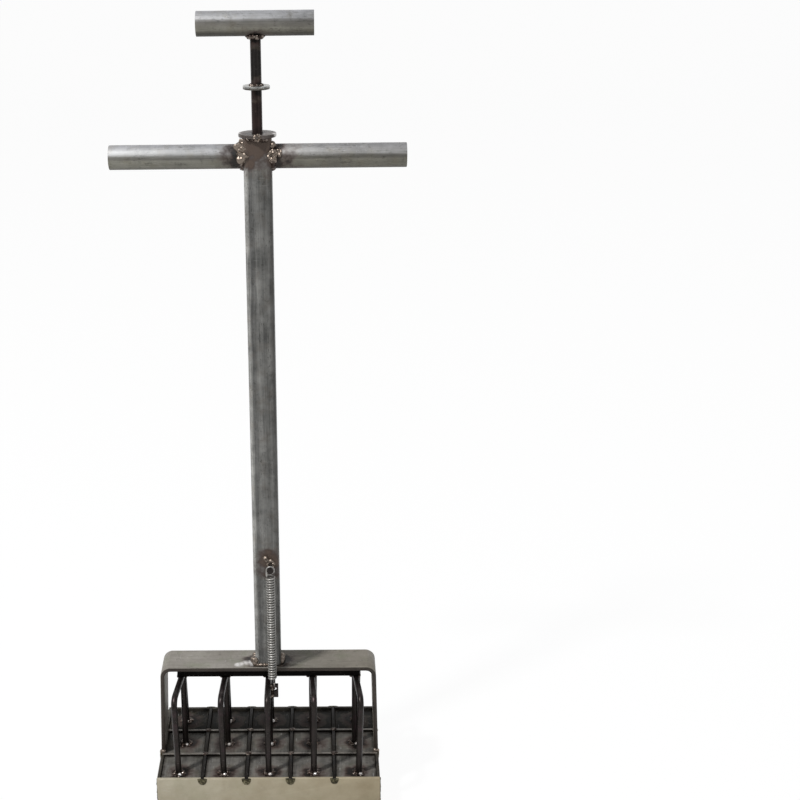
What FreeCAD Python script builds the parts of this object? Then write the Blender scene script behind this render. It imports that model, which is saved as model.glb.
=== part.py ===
"""Fifteen-cell hand soil blocker: a steel grid that is pressed into wet potting mix, and a
spring-returned ejector that pushes the finished blocks out.

Millimetres. X runs along the cross handles, Y runs from the front to the back, +Z is up, and the
origin is on the ground in the middle of the mould's open bottom rim.
"""
import FreeCAD, Part
import math
import os

from FreeCAD import Vector

# Mould grid
COLUMNS = 5
ROWS = 3
CELL_WIDTH = 40.0
CELL_DEPTH = 40.0
DIVIDER_THICKNESS = 3.0
WALL_THICKNESS = 3.0
WALL_HEIGHT = 44.0
LAP_CLEARANCE = 0.1
EAR_DEPTH = 6.0

# Push plates
PLATE_THICKNESS = 3.0
PLATE_CLEARANCE = 0.5
PLATE_RECESS = 2.0

# Hoop that carries the post
HOOP_THICKNESS = 4.0
HOOP_WIDTH = 36.0
HOOP_RISE = 94.5
HOOP_BEND_RADIUS = 12.0
HOOP_SPLAY = 2.5

# Post and its guide washer
POST_SIZE = 25.0
POST_WALL = 2.0
POST_CORNER_RADIUS = 3.0
POST_LENGTH = 524.0
GUIDE_WASHER_DIAMETER = 34.0
GUIDE_WASHER_THICKNESS = 3.0

# Cross handles, cut from round tube
HANDLE_DIAMETER = 22.0
HANDLE_WALL = 2.0
HANDLE_REACH = 133.0
HANDLE_DROP = 20.9

# Push rod, its stop washer and its grip
ROD_DIAMETER = 9.5
ROD_CLEARANCE = 0.4
STOP_WASHER_DIAMETER = 24.0
STOP_WASHER_THICKNESS = 3.0
GRIP_DIAMETER = 22.0
GRIP_WALL = 2.0
GRIP_LENGTH = 103.0
GRIP_HEIGHT_OVER_STOP = 53.8

# Ejector crossbar and the bent rods below it
CROSSBAR_OVERHANG = 4.0
CROSSBAR_WIDTH = 26.0
CROSSBAR_THICKNESS = 8.0
HOOP_GAP = 0.3
LEG_DIAMETER = 6.0
LEG_BEND_RADIUS = 9.0
FRONT_REACH = 53.0
BACK_REACH = 43.0
ELBOW_SPREAD = 1.055
FOOT_SPREAD = 1.03

# Return spring and its two anchors
SPRING_WIRE = 1.5
SPRING_DIAMETER = 8.6
SPRING_PITCH = 5.5
SPRING_TURNS = 20
SPRING_LAST_TURN = SPRING_TURNS + 0.25
SPRING_OFFSET = 4.5
SPRING_STANDOFF = 6.0
SPRING_SINK = 4.0
HOOK_BEND_RADIUS = 2.0
HOOK_NECK = 5.0
HOOK_SWEEP_DEGREES = 250.0
SEAT_CLEARANCE = 0.3
STUD_DIAMETER = 4.0
STUD_HEAD_DIAMETER = 6.6
STUD_HEAD_THICKNESS = 1.6
LUG_WIDTH = 11.0
LUG_HEIGHT = 14.0
LUG_THICKNESS = 3.0
LUG_HOLE_DIAMETER = 4.0
LUG_RIM = 3.0

# Weld beads and the gap that they bridge
WELD_GAP = 0.1
FOOT_WELD_LEG = 3.0
HANDLE_WELD_LEG = 3.5
SEAM_WELD_WIDTH = 2.6
TACK_WIDTH = 7.0
TACK_HEIGHT = 1.0
EAR_WELD_WIDTH = 9.0
EAR_WELD_HEIGHT = 1.0

# Worked out from the sizes above
COLUMN_PITCH = CELL_WIDTH + DIVIDER_THICKNESS
ROW_PITCH = CELL_DEPTH + DIVIDER_THICKNESS
INNER_WIDTH = COLUMNS * COLUMN_PITCH - DIVIDER_THICKNESS
INNER_DEPTH = ROWS * ROW_PITCH - DIVIDER_THICKNESS
OUTER_WIDTH = INNER_WIDTH + 2 * WALL_THICKNESS
OUTER_DEPTH = INNER_DEPTH + 2 * WALL_THICKNESS
TRAVEL = WALL_HEIGHT - PLATE_RECESS - PLATE_THICKNESS
PLATE_TOP = WALL_HEIGHT - PLATE_RECESS
HOOP_TOP = WALL_HEIGHT + HOOP_RISE
HOOP_UNDERSIDE = HOOP_TOP - HOOP_THICKNESS
POST_TOP = HOOP_TOP + POST_LENGTH
GUIDE_TOP = POST_TOP + GUIDE_WASHER_THICKNESS
STOP_UNDERSIDE = GUIDE_TOP + TRAVEL
STOP_TOP = STOP_UNDERSIDE + STOP_WASHER_THICKNESS
GRIP_HEIGHT = STOP_TOP + GRIP_HEIGHT_OVER_STOP
HANDLE_HEIGHT = GUIDE_TOP - HANDLE_DROP
CROSSBAR_LENGTH = (COLUMNS - 1) * COLUMN_PITCH + 2 * CROSSBAR_OVERHANG
CROSSBAR_TOP = HOOP_UNDERSIDE - HOOP_GAP
CROSSBAR_BOTTOM = CROSSBAR_TOP - CROSSBAR_THICKNESS
LEG_AXIS_HEIGHT = CROSSBAR_BOTTOM - WELD_GAP - LEG_DIAMETER / 2
GUIDE_HOLE_RADIUS = ROD_DIAMETER / 2 + ROD_CLEARANCE
SPRING_RADIUS = (SPRING_DIAMETER - SPRING_WIRE) / 2
SPRING_AXIS_Y = -(HOOP_WIDTH / 2 + SPRING_STANDOFF)
SPRING_BOTTOM = CROSSBAR_TOP - SPRING_SINK
SPRING_TOP = SPRING_BOTTOM + SPRING_LAST_TURN * SPRING_PITCH
LOWER_RING_HEIGHT = SPRING_BOTTOM - HOOK_BEND_RADIUS - HOOK_NECK
UPPER_RING_HEIGHT = SPRING_TOP + HOOK_BEND_RADIUS + HOOK_NECK

# How finely curves are drawn, and the limits used when edges are picked
ROD_SIDES = 8
BEAD_SIDES = 6
BEND_CHORDS = 5
MITRED = 1
STRAIGHT_ANGLE = math.radians(0.1)
NEAR = 0.01
ROW_NAMES = ("front", "middle", "back")
X_AXIS = Vector(1, 0, 0)
Y_AXIS = Vector(0, 1, 0)
Z_AXIS = Vector(0, 0, 1)


def save(name, shape):
    """Write one named piece, or one named group of separate solids."""
    shape.exportStep(f"parts/{name}.step")


def block(size_x, size_y, size_z, centre_x, centre_y, bottom):
    """Box centred on (centre_x, centre_y) that stands on the height given as bottom."""
    corner = Vector(centre_x - size_x / 2, centre_y - size_y / 2, bottom)
    return Part.makeBox(size_x, size_y, size_z, corner)


def cylinder(diameter, start, end):
    """Round bar from one point to another."""
    along = end - start
    return Part.makeCylinder(diameter / 2, along.Length, start, along)


def tube(diameter, wall, start, end):
    """Round tube from one point to another."""
    return cylinder(diameter, start, end).cut(cylinder(diameter - 2 * wall, start, end))


def polygon(sides, across_flats, centre, direction, flat_towards):
    """Closed regular outline square to direction, with one flat facing flat_towards."""
    first = flat_towards - direction * flat_towards.dot(direction)
    first.normalize()
    second = direction.cross(first)
    reach = across_flats / 2 / math.cos(math.pi / sides)
    angles = [(2 * corner + 1) * math.pi / sides for corner in range(sides)]
    corners = [centre + first * (reach * math.cos(angle)) + second * (reach * math.sin(angle))
               for angle in angles]
    return Part.makePolygon(corners + corners[:1])


def bead(foot_width, top_width, height, foot, direction, flat_towards):
    """Six-sided weld bead that stands on foot and narrows along direction."""
    top = foot + direction * height
    low = polygon(BEAD_SIDES, foot_width, foot, direction, flat_towards)
    high = polygon(BEAD_SIDES, top_width, top, direction, flat_towards)
    faces = [Part.Face(low), Part.Face(high)]
    for low_edge, high_edge in zip(low.Edges, high.Edges):
        (a, b), (d, c) = [[vertex.Point for vertex in edge.Vertexes]
                          for edge in (low_edge, high_edge)]
        faces.append(Part.Face(Part.makePolygon([a, b, c, d, a])))
    return Part.Solid(Part.Shell(faces))


def arc_between(start, tangent, end):
    """Arc that leaves start along tangent and ends at end."""
    chord = end - start
    half = chord.Length / 2
    unit = Vector(chord).normalize()
    sideways = tangent - unit * tangent.dot(unit)
    sideways.normalize()
    turn = tangent.getAngle(chord)
    middle = start + chord * 0.5 + sideways * (half * math.tan(turn / 2))
    return Part.Arc(start, middle, end).toShape()


def bent_path(points, radius):
    """Open outline through the points, each bend drawn as a few chords of its arc."""
    spots = [points[0]]
    for before, corner, after in zip(points, points[1:], points[2:]):
        inward = (corner - before).normalize()
        outward = (after - corner).normalize()
        turn = inward.getAngle(outward)
        if turn < STRAIGHT_ANGLE:
            continue
        cut_back = radius * math.tan(turn / 2)
        bend = arc_between(corner - inward * cut_back, inward, corner + outward * cut_back)
        chords = max(1, round(BEND_CHORDS * turn / (math.pi / 2)))
        spots += bend.discretize(Number=chords + 1)
    return Part.makePolygon(spots + points[-1:])


def polygon_bar(sides, across_flats, length, foot):
    """Upright bar with flats, drawn in place of a thin round one."""
    section = Part.Face(polygon(sides, across_flats, foot, Z_AXIS, Y_AXIS))
    return section.extrude(Z_AXIS * length)


def bent_rod(points, diameter, bend_radius, flat_towards):
    """Rod bent through the points, its round section drawn with eight flats."""
    path = bent_path(points, bend_radius)
    direction = (points[1] - points[0]).normalize()
    section = polygon(ROD_SIDES, diameter, points[0], direction, flat_towards)
    return path.makePipeShell([section], True, False, MITRED)


def column_x(column):
    """Middle of a column of cells."""
    return (column - (COLUMNS - 1) / 2) * COLUMN_PITCH


def row_y(row):
    """Middle of a row of cells, counted from the front."""
    return (row - (ROWS - 1) / 2) * ROW_PITCH


def divider_places(count, pitch):
    """Positions of the dividers between count cells."""
    return [(index - count / 2) * pitch for index in range(1, count)]


COLUMN_DIVIDERS = divider_places(COLUMNS, COLUMN_PITCH)
ROW_DIVIDERS = divider_places(ROWS, ROW_PITCH)


def long_wall(side):
    """Front or back wall over the full width, notched on top for the column dividers' ears."""
    middle_y = side * (OUTER_DEPTH - WALL_THICKNESS) / 2
    wall = block(OUTER_WIDTH, WALL_THICKNESS, WALL_HEIGHT, 0, middle_y, 0)
    notch_width = DIVIDER_THICKNESS + 2 * LAP_CLEARANCE
    notch_bottom = WALL_HEIGHT - EAR_DEPTH - LAP_CLEARANCE
    for x in COLUMN_DIVIDERS:
        wall = wall.cut(block(notch_width, 2 * WALL_THICKNESS, WALL_HEIGHT, x, middle_y, notch_bottom))
    return wall


def short_wall(side):
    """Left or right wall between the long walls, notched for the row dividers' ears."""
    middle_x = side * (OUTER_WIDTH - WALL_THICKNESS) / 2
    wall = block(WALL_THICKNESS, INNER_DEPTH, WALL_HEIGHT, middle_x, 0, 0)
    notch_width = DIVIDER_THICKNESS + 2 * LAP_CLEARANCE
    notch_bottom = WALL_HEIGHT - EAR_DEPTH - LAP_CLEARANCE
    for y in ROW_DIVIDERS:
        wall = wall.cut(block(2 * WALL_THICKNESS, notch_width, WALL_HEIGHT, middle_x, y, notch_bottom))
    return wall


def column_divider(x):
    """Divider from front to back, slotted from the top half down for the row dividers."""
    body = block(DIVIDER_THICKNESS, INNER_DEPTH, WALL_HEIGHT, x, 0, 0)
    ears = block(DIVIDER_THICKNESS, OUTER_DEPTH, EAR_DEPTH, x, 0, WALL_HEIGHT - EAR_DEPTH)
    divider = body.fuse(ears).removeSplitter()
    slot_width = DIVIDER_THICKNESS + 2 * LAP_CLEARANCE
    slot_bottom = WALL_HEIGHT / 2 - LAP_CLEARANCE
    for y in ROW_DIVIDERS:
        divider = divider.cut(block(2 * DIVIDER_THICKNESS, slot_width, WALL_HEIGHT, x, y, slot_bottom))
    return divider


def row_divider(y):
    """Divider from side to side, slotted from the bottom half up for the column dividers."""
    body = block(INNER_WIDTH, DIVIDER_THICKNESS, WALL_HEIGHT, 0, y, 0)
    ears = block(OUTER_WIDTH, DIVIDER_THICKNESS, EAR_DEPTH, 0, y, WALL_HEIGHT - EAR_DEPTH)
    divider = body.fuse(ears).removeSplitter()
    slot_width = DIVIDER_THICKNESS + 2 * LAP_CLEARANCE
    slot_height = WALL_HEIGHT / 2 + LAP_CLEARANCE
    for x in COLUMN_DIVIDERS:
        divider = divider.cut(block(slot_width, 2 * DIVIDER_THICKNESS, slot_height, x, y, 0))
    return divider


def ear_welds():
    """Half-round beads over the divider ears, on the outer faces of all four walls."""
    beads = []
    for side in (-1, 1):
        for x in COLUMN_DIVIDERS:
            foot = Vector(x, side * OUTER_DEPTH / 2, WALL_HEIGHT)
            beads.append(bead(EAR_WELD_WIDTH, EAR_WELD_WIDTH / 2, EAR_WELD_HEIGHT, foot,
                              Y_AXIS * side, Z_AXIS))
        for y in ROW_DIVIDERS:
            foot = Vector(side * OUTER_WIDTH / 2, y, WALL_HEIGHT)
            beads.append(bead(EAR_WELD_WIDTH, EAR_WELD_WIDTH / 2, EAR_WELD_HEIGHT, foot,
                              X_AXIS * side, Z_AXIS))
    above = block(2 * OUTER_WIDTH, 2 * OUTER_DEPTH, WALL_HEIGHT, 0, 0, WALL_HEIGHT)
    return Part.makeCompound([each.cut(above) for each in beads])


def corner_welds():
    """Upright beads along the seams between the long and the short walls."""
    beads = []
    for side_x in (-1, 1):
        face_x = side_x * OUTER_WIDTH / 2
        inside = block(OUTER_WIDTH, OUTER_DEPTH, WALL_HEIGHT, 0, 0, 0)
        for side_y in (-1, 1):
            foot = Vector(face_x, side_y * INNER_DEPTH / 2, 0)
            beads.append(bead(SEAM_WELD_WIDTH, SEAM_WELD_WIDTH, WALL_HEIGHT, foot, Z_AXIS,
                              X_AXIS).cut(inside))
    return Part.makeCompound(beads)


def crossing_tacks():
    """Low tack welds on top of each crossing of two dividers."""
    tacks = []
    for x in COLUMN_DIVIDERS:
        for y in ROW_DIVIDERS:
            top = Vector(x, y, WALL_HEIGHT)
            tacks.append(bead(TACK_WIDTH, TACK_WIDTH / 2, TACK_HEIGHT, top, Z_AXIS, X_AXIS))
    return Part.makeCompound(tacks)


def hoop_prism(inset, bend_radius):
    """Solid under the hoop's outline, drawn in by inset, its two top edges rounded."""
    foot_x = OUTER_WIDTH / 2 - inset
    top_x = foot_x - HOOP_SPLAY
    top = HOOP_TOP - inset
    width = HOOP_WIDTH if inset == 0 else 2 * HOOP_WIDTH
    corners = [Vector(-foot_x, -width / 2, WALL_HEIGHT), Vector(-top_x, -width / 2, top),
               Vector(top_x, -width / 2, top), Vector(foot_x, -width / 2, WALL_HEIGHT)]
    face = Part.Face(Part.makePolygon(corners + corners[:1]))
    prism = face.extrude(Vector(0, width, 0))
    bends = [edge for edge in prism.Edges
             if abs(edge.CenterOfMass.z - top) < NEAR and abs(edge.CenterOfMass.x) > top_x - NEAR]
    return prism.makeFillet(bend_radius, bends)


def hoop():
    """Flat bar bent to an inverted U, holed for the push rod."""
    bar = hoop_prism(0, HOOP_BEND_RADIUS).cut(
        hoop_prism(HOOP_THICKNESS, HOOP_BEND_RADIUS - HOOP_THICKNESS))
    hole = Part.makeCylinder(GUIDE_HOLE_RADIUS, 2 * HOOP_THICKNESS,
                             Vector(0, 0, HOOP_UNDERSIDE - HOOP_THICKNESS / 2), Z_AXIS)
    return bar.cut(hole)


def hoop_foot_welds(bar):
    """Small beads at the front and back edge of each hoop leg, on top of the side walls."""
    beads = []
    for side_x in (-1, 1):
        for side_y in (-1, 1):
            foot = Vector(side_x * (OUTER_WIDTH - WALL_THICKNESS) / 2, side_y * HOOP_WIDTH / 2,
                          WALL_HEIGHT)
            lump = bead(2 * FOOT_WELD_LEG, FOOT_WELD_LEG, FOOT_WELD_LEG, foot, Z_AXIS, X_AXIS)
            beads.append(lump.cut(bar))
    return Part.makeCompound(beads)


def rounded_square(size, corner_radius, height, bottom):
    """Upright square prism with rounded corners."""
    prism = block(size, size, height, 0, 0, bottom)
    upright = [edge for edge in prism.Edges if edge.BoundBox.ZLength > height / 2]
    return prism.makeFillet(corner_radius, upright)


def post():
    """Square tube that stands on the hoop."""
    outside = rounded_square(POST_SIZE, POST_CORNER_RADIUS, POST_LENGTH, HOOP_TOP)
    inside = rounded_square(POST_SIZE - 2 * POST_WALL, POST_CORNER_RADIUS - POST_WALL,
                            POST_LENGTH, HOOP_TOP)
    return outside.cut(inside)


def post_foot_welds():
    """Quarter-round beads along the left and right foot of the post."""
    length = POST_SIZE - 2 * POST_CORNER_RADIUS
    beads = []
    keep_out = block(POST_SIZE, POST_SIZE, HOOP_TOP, 0, 0, HOOP_TOP)
    below = block(OUTER_WIDTH, OUTER_DEPTH, HOOP_TOP, 0, 0, 0)
    for side in (-1, 1):
        start = Vector(side * POST_SIZE / 2, -length / 2, HOOP_TOP)
        strip = bead(2 * HANDLE_WELD_LEG, 2 * HANDLE_WELD_LEG, length, start, Y_AXIS, Z_AXIS)
        beads.append(strip.cut(keep_out).cut(below))
    return Part.makeCompound(beads)


def washer(diameter, hole_radius, thickness, bottom):
    """Flat round washer on the rod's axis."""
    base = Vector(0, 0, bottom)
    disc = Part.makeCylinder(diameter / 2, thickness, base, Z_AXIS)
    return disc.cut(Part.makeCylinder(hole_radius, thickness, base, Z_AXIS))


def handle_end(x):
    """Point on the cross handles' common centre line."""
    return Vector(x, 0, HANDLE_HEIGHT)


def cross_handle(side):
    """Round tube welded square against the side of the post."""
    return tube(HANDLE_DIAMETER, HANDLE_WALL, handle_end(side * (POST_SIZE / 2 + WELD_GAP)),
                handle_end(side * HANDLE_REACH))


def handle_welds():
    """Fillet beads where the two cross handles meet the post."""
    beads = []
    wide = HANDLE_DIAMETER + 2 * HANDLE_WELD_LEG
    height = POST_TOP - HANDLE_HEIGHT
    for side in (-1, 1):
        foot = handle_end(side * POST_SIZE / 2)
        ring = bead(wide, HANDLE_DIAMETER + HANDLE_WELD_LEG / 2, HANDLE_WELD_LEG, foot,
                    X_AXIS * side, Z_AXIS)
        ring = ring.cut(cylinder(HANDLE_DIAMETER, handle_end(0), handle_end(side * HANDLE_REACH)))
        face = block(POST_SIZE, POST_SIZE - 2 * POST_CORNER_RADIUS, 2 * height, side * POST_SIZE, 0,
                     HANDLE_HEIGHT - height)
        beads += ring.common(face).Solids
    return Part.makeCompound(beads)


def push_rod():
    """Round bar from the crossbar's underside up to the grip, coped to the grip's curve."""
    bar = cylinder(ROD_DIAMETER, Vector(0, 0, CROSSBAR_BOTTOM), Vector(0, 0, GRIP_HEIGHT))
    half = Vector(GRIP_LENGTH / 2, 0, 0)
    centre = Vector(0, 0, GRIP_HEIGHT)
    return bar.cut(cylinder(GRIP_DIAMETER, centre - half, centre + half))


def grip_pipe():
    """Short round tube across the top of the push rod."""
    half = Vector(GRIP_LENGTH / 2, 0, 0)
    centre = Vector(0, 0, GRIP_HEIGHT)
    return tube(GRIP_DIAMETER, GRIP_WALL, centre - half, centre + half)


def rod_welds():
    """Beads round the push rod: under the grip and on top of the stop washer."""
    half = Vector(GRIP_LENGTH / 2, 0, 0)
    centre = Vector(0, 0, GRIP_HEIGHT)
    grip = cylinder(GRIP_DIAMETER, centre - half, centre + half)
    rod = cylinder(ROD_DIAMETER, Vector(0, 0, STOP_UNDERSIDE), centre)
    wide = ROD_DIAMETER + 2 * FOOT_WELD_LEG
    saddle = bead(wide, ROD_DIAMETER + FOOT_WELD_LEG / 2, GRIP_DIAMETER / 2 + FOOT_WELD_LEG, centre,
                  Z_AXIS * -1, Y_AXIS).cut(grip)
    stop = bead(wide, ROD_DIAMETER + FOOT_WELD_LEG / 2, FOOT_WELD_LEG, Vector(0, 0, STOP_TOP),
                Z_AXIS, Y_AXIS)
    return Part.makeCompound([saddle.cut(rod), stop.cut(rod)])


def crossbar():
    """Flat bar under the hoop that carries every leg, holed for the push rod."""
    bar = block(CROSSBAR_LENGTH, CROSSBAR_WIDTH, CROSSBAR_THICKNESS, 0, 0, CROSSBAR_BOTTOM)
    hole_radius = ROD_DIAMETER / 2 + WELD_GAP
    base = Vector(0, 0, CROSSBAR_BOTTOM)
    return bar.cut(Part.makeCylinder(hole_radius, CROSSBAR_THICKNESS, base, Z_AXIS))


def staple_points(x):
    """Centre line of a staple: foot, elbow, under the crossbar, elbow, foot."""
    elbow_x = x * ELBOW_SPREAD
    foot_x = x * FOOT_SPREAD
    return [Vector(foot_x, -FRONT_REACH, PLATE_TOP - PLATE_THICKNESS / 2),
            Vector(elbow_x, -FRONT_REACH, LEG_AXIS_HEIGHT),
            Vector(x, 0, LEG_AXIS_HEIGHT),
            Vector(elbow_x, BACK_REACH, LEG_AXIS_HEIGHT),
            Vector(foot_x, BACK_REACH, PLATE_TOP - PLATE_THICKNESS / 2)]


def staple(x):
    """Rod bent over one column: a leg to the front push plate and a leg to the back one."""
    below = block(OUTER_WIDTH, OUTER_DEPTH, PLATE_TOP, 0, 0, 0)
    return bent_rod(staple_points(x), LEG_DIAMETER, LEG_BEND_RADIUS, Y_AXIS).cut(below)


def middle_leg(x):
    """Straight leg from the underside of a staple down to the middle push plate."""
    foot = Vector(x, 0, PLATE_TOP)
    length = LEG_AXIS_HEIGHT - LEG_DIAMETER / 2 - WELD_GAP - PLATE_TOP
    return polygon_bar(ROD_SIDES, LEG_DIAMETER, length, foot)


def staple_welds(staples, rod):
    """Short beads on both sides of each staple, along the crossbar's underside."""
    beads = []
    length = CROSSBAR_WIDTH - LEG_DIAMETER
    for column, bent in enumerate(staples):
        x = column_x(column)
        width = LEG_DIAMETER + 2 * FOOT_WELD_LEG
        strip = block(width, length, LEG_DIAMETER / 2, x, 0, LEG_AXIS_HEIGHT)
        beads += strip.cut(bent).cut(rod).Solids
    return Part.makeCompound(beads)


def push_plate(column, row):
    """Flat plate that fills one cell with a little clearance all round."""
    return block(CELL_WIDTH - 2 * PLATE_CLEARANCE, CELL_DEPTH - 2 * PLATE_CLEARANCE,
                 PLATE_THICKNESS, column_x(column), row_y(row), PLATE_TOP - PLATE_THICKNESS)


def plate_welds(staples, legs):
    """Fillet beads round the foot of every leg, on top of the push plates."""
    beads = []
    for column, (bent, leg) in enumerate(zip(staples, legs)):
        x = column_x(column)
        feet = [(x * FOOT_SPREAD, -FRONT_REACH, bent), (x, 0, leg), (x * FOOT_SPREAD, BACK_REACH, bent)]
        for foot_x, foot_y, rod in feet:
            foot = Vector(foot_x, foot_y, PLATE_TOP)
            wide = LEG_DIAMETER + 2 * FOOT_WELD_LEG
            beads.append(bead(wide, wide - FOOT_WELD_LEG, FOOT_WELD_LEG, foot, Z_AXIS, Y_AXIS).cut(rod))
    return Part.makeCompound(beads)


def coil_point(turn):
    """Point of the spring's helix after so many turns, counted up from the lower end."""
    angle = 2 * math.pi * turn + math.pi / 2
    return Vector(SPRING_OFFSET + SPRING_RADIUS * math.cos(angle),
                  SPRING_AXIS_Y + SPRING_RADIUS * math.sin(angle),
                  SPRING_BOTTOM + SPRING_PITCH * turn)


def coil_tangent(turn):
    """Unit direction of the wire there; the helix starts and ends level for its hooks."""
    angle = 2 * math.pi * turn + math.pi / 2
    at_end = turn <= 0 or turn >= SPRING_LAST_TURN
    climb = 0 if at_end else SPRING_PITCH / (2 * math.pi)
    flat = Vector(-math.sin(angle), math.cos(angle), 0) * SPRING_RADIUS
    return (flat + Vector(0, 0, climb)).normalize()


def biarc(start, start_tangent, end, end_tangent):
    """Two arcs that meet smoothly and join both ends along their tangents."""
    gap = end - start
    both = start_tangent + end_tangent
    spread = 2 * (1 - start_tangent.dot(end_tangent))
    reach = (math.sqrt(gap.dot(both) ** 2 + spread * gap.dot(gap)) - gap.dot(both)) / spread
    middle = (start + end + (start_tangent - end_tangent) * reach) * 0.5
    middle_tangent = (end - end_tangent * reach) - (start + start_tangent * reach)
    middle_tangent.normalize()
    return [arc_between(start, start_tangent, middle), arc_between(middle, middle_tangent, end)]


def hook_edges(coil_end, tangent, outward, inward):
    """End hook: a bend out of the coil, a short neck and most of a ring round the anchor.

    outward points away from the coils along the spring, inward from the coil's end to its axis.
    """
    neck_start = coil_end + (tangent + outward) * HOOK_BEND_RADIUS
    ring_start = neck_start + outward * HOOK_NECK
    centre = ring_start + inward * SPRING_RADIUS
    edges = [arc_between(coil_end, tangent, neck_start),
             Part.LineSegment(neck_start, ring_start).toShape()]
    for half in (0, 1):
        angles = [math.radians(HOOK_SWEEP_DEGREES * (half + step) / 2) for step in (0, 0.5, 1)]
        spots = [centre - inward * (SPRING_RADIUS * math.cos(angle))
                 + outward * (SPRING_RADIUS * math.sin(angle)) for angle in angles]
        edges.append(Part.Arc(*spots).toShape())
    return edges


def spring_ends():
    """Start and end of the helix with the level tangents of the hooks."""
    top = SPRING_LAST_TURN
    return (coil_point(0), coil_tangent(0) * -1), (coil_point(top), coil_tangent(top))


def spring_path():
    """Centre line of the return spring: lower hook, coils and upper hook in one wire."""
    (low, low_tangent), (high, high_tangent) = spring_ends()
    to_axis_low = Vector(SPRING_OFFSET, SPRING_AXIS_Y, low.z) - low
    to_axis_high = Vector(SPRING_OFFSET, SPRING_AXIS_Y, high.z) - high
    edges = hook_edges(low, low_tangent, Z_AXIS * -1, to_axis_low.normalize())[::-1]
    turns = [step / 2 for step in range(2 * SPRING_TURNS + 1)] + [SPRING_LAST_TURN]
    for turn, following in zip(turns, turns[1:]):
        edges += biarc(coil_point(turn), coil_tangent(turn),
                       coil_point(following), coil_tangent(following))
    edges += hook_edges(high, high_tangent, Z_AXIS, to_axis_high.normalize())
    return Part.Wire(Part.__sortEdges__(edges))


def least_self_gap(path):
    """Least gap between two stretches of the wire that lie over a quarter turn apart."""
    spacing = SPRING_WIRE / 2.5
    points = path.discretize(Distance=spacing)
    skip = int(2 * SPRING_RADIUS / spacing) + 2
    reach = int(4 * math.pi * SPRING_RADIUS / spacing)
    least = min((points[index] - other).Length
                for index in range(len(points))
                for other in points[index + skip:index + reach])
    return least - SPRING_WIRE


def return_spring():
    """Extension spring in front of the hoop: one tube with a three-sided wire section."""
    path = spring_path()
    print(f"spring: least gap between coils {least_self_gap(path):.2f} mm, "
          f"wire length {path.Length:.0f} mm")
    first = path.Edges[0]
    start = first.valueAt(first.FirstParameter)
    direction = first.tangentAt(first.FirstParameter)
    side = direction.cross(X_AXIS).normalize()
    corners = [start + (side * math.cos(angle) + direction.cross(side) * math.sin(angle))
               * (SPRING_WIRE / 2) for angle in (0, 2 * math.pi / 3, 4 * math.pi / 3)]
    section = Part.makePolygon(corners + corners[:1])
    return path.makePipeShell([section], True, False)


def anchor_stud():
    """Headed stud on the front of the post that the spring's upper ring hangs on."""
    height = UPPER_RING_HEIGHT + SPRING_RADIUS - SPRING_WIRE / 2 - SEAT_CLEARANCE - STUD_DIAMETER / 2
    root = Vector(SPRING_OFFSET, -POST_SIZE / 2, height)
    ring_y = SPRING_AXIS_Y - HOOK_BEND_RADIUS
    head_y = ring_y - SPRING_WIRE / 2 - SEAT_CLEARANCE
    neck = cylinder(STUD_DIAMETER, root, Vector(SPRING_OFFSET, head_y, height))
    head = cylinder(STUD_HEAD_DIAMETER, Vector(SPRING_OFFSET, head_y, height),
                    Vector(SPRING_OFFSET, head_y - STUD_HEAD_THICKNESS, height))
    return neck.fuse(head).removeSplitter()


def anchor_weld(stud):
    """Lumpy bead over the stud's root, on the front of the post."""
    middle = stud.BoundBox.Center
    foot = Vector(SPRING_OFFSET - STUD_DIAMETER / 2, -POST_SIZE / 2, middle.z + STUD_DIAMETER / 2)
    radius = STUD_HEAD_DIAMETER / 2
    return bead(2 * radius, radius, radius, foot, Y_AXIS * -1, Z_AXIS).cut(stud)


def spring_lug(bent):
    """Upright tab beside the middle staple, holed for the spring's lower ring."""
    ring_x = SPRING_OFFSET + HOOK_BEND_RADIUS
    ring_rise = SPRING_RADIUS - math.sqrt(SPRING_RADIUS ** 2 - (LUG_THICKNESS / 2) ** 2)
    wire_top = LOWER_RING_HEIGHT - SPRING_RADIUS + SPRING_WIRE / 2 + ring_rise
    hole_top = wire_top + SEAT_CLEARANCE
    top = hole_top + LUG_RIM
    tab = block(LUG_WIDTH, LUG_THICKNESS, LUG_HEIGHT, SPRING_OFFSET, SPRING_AXIS_Y, top - LUG_HEIGHT)
    hole_height = hole_top - LUG_HOLE_DIAMETER / 2
    hole = Part.makeCylinder(LUG_HOLE_DIAMETER / 2, 2 * LUG_THICKNESS,
                             Vector(ring_x, SPRING_AXIS_Y - LUG_THICKNESS, hole_height), Y_AXIS)
    return tab.cut(hole).cut(bent)


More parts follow.
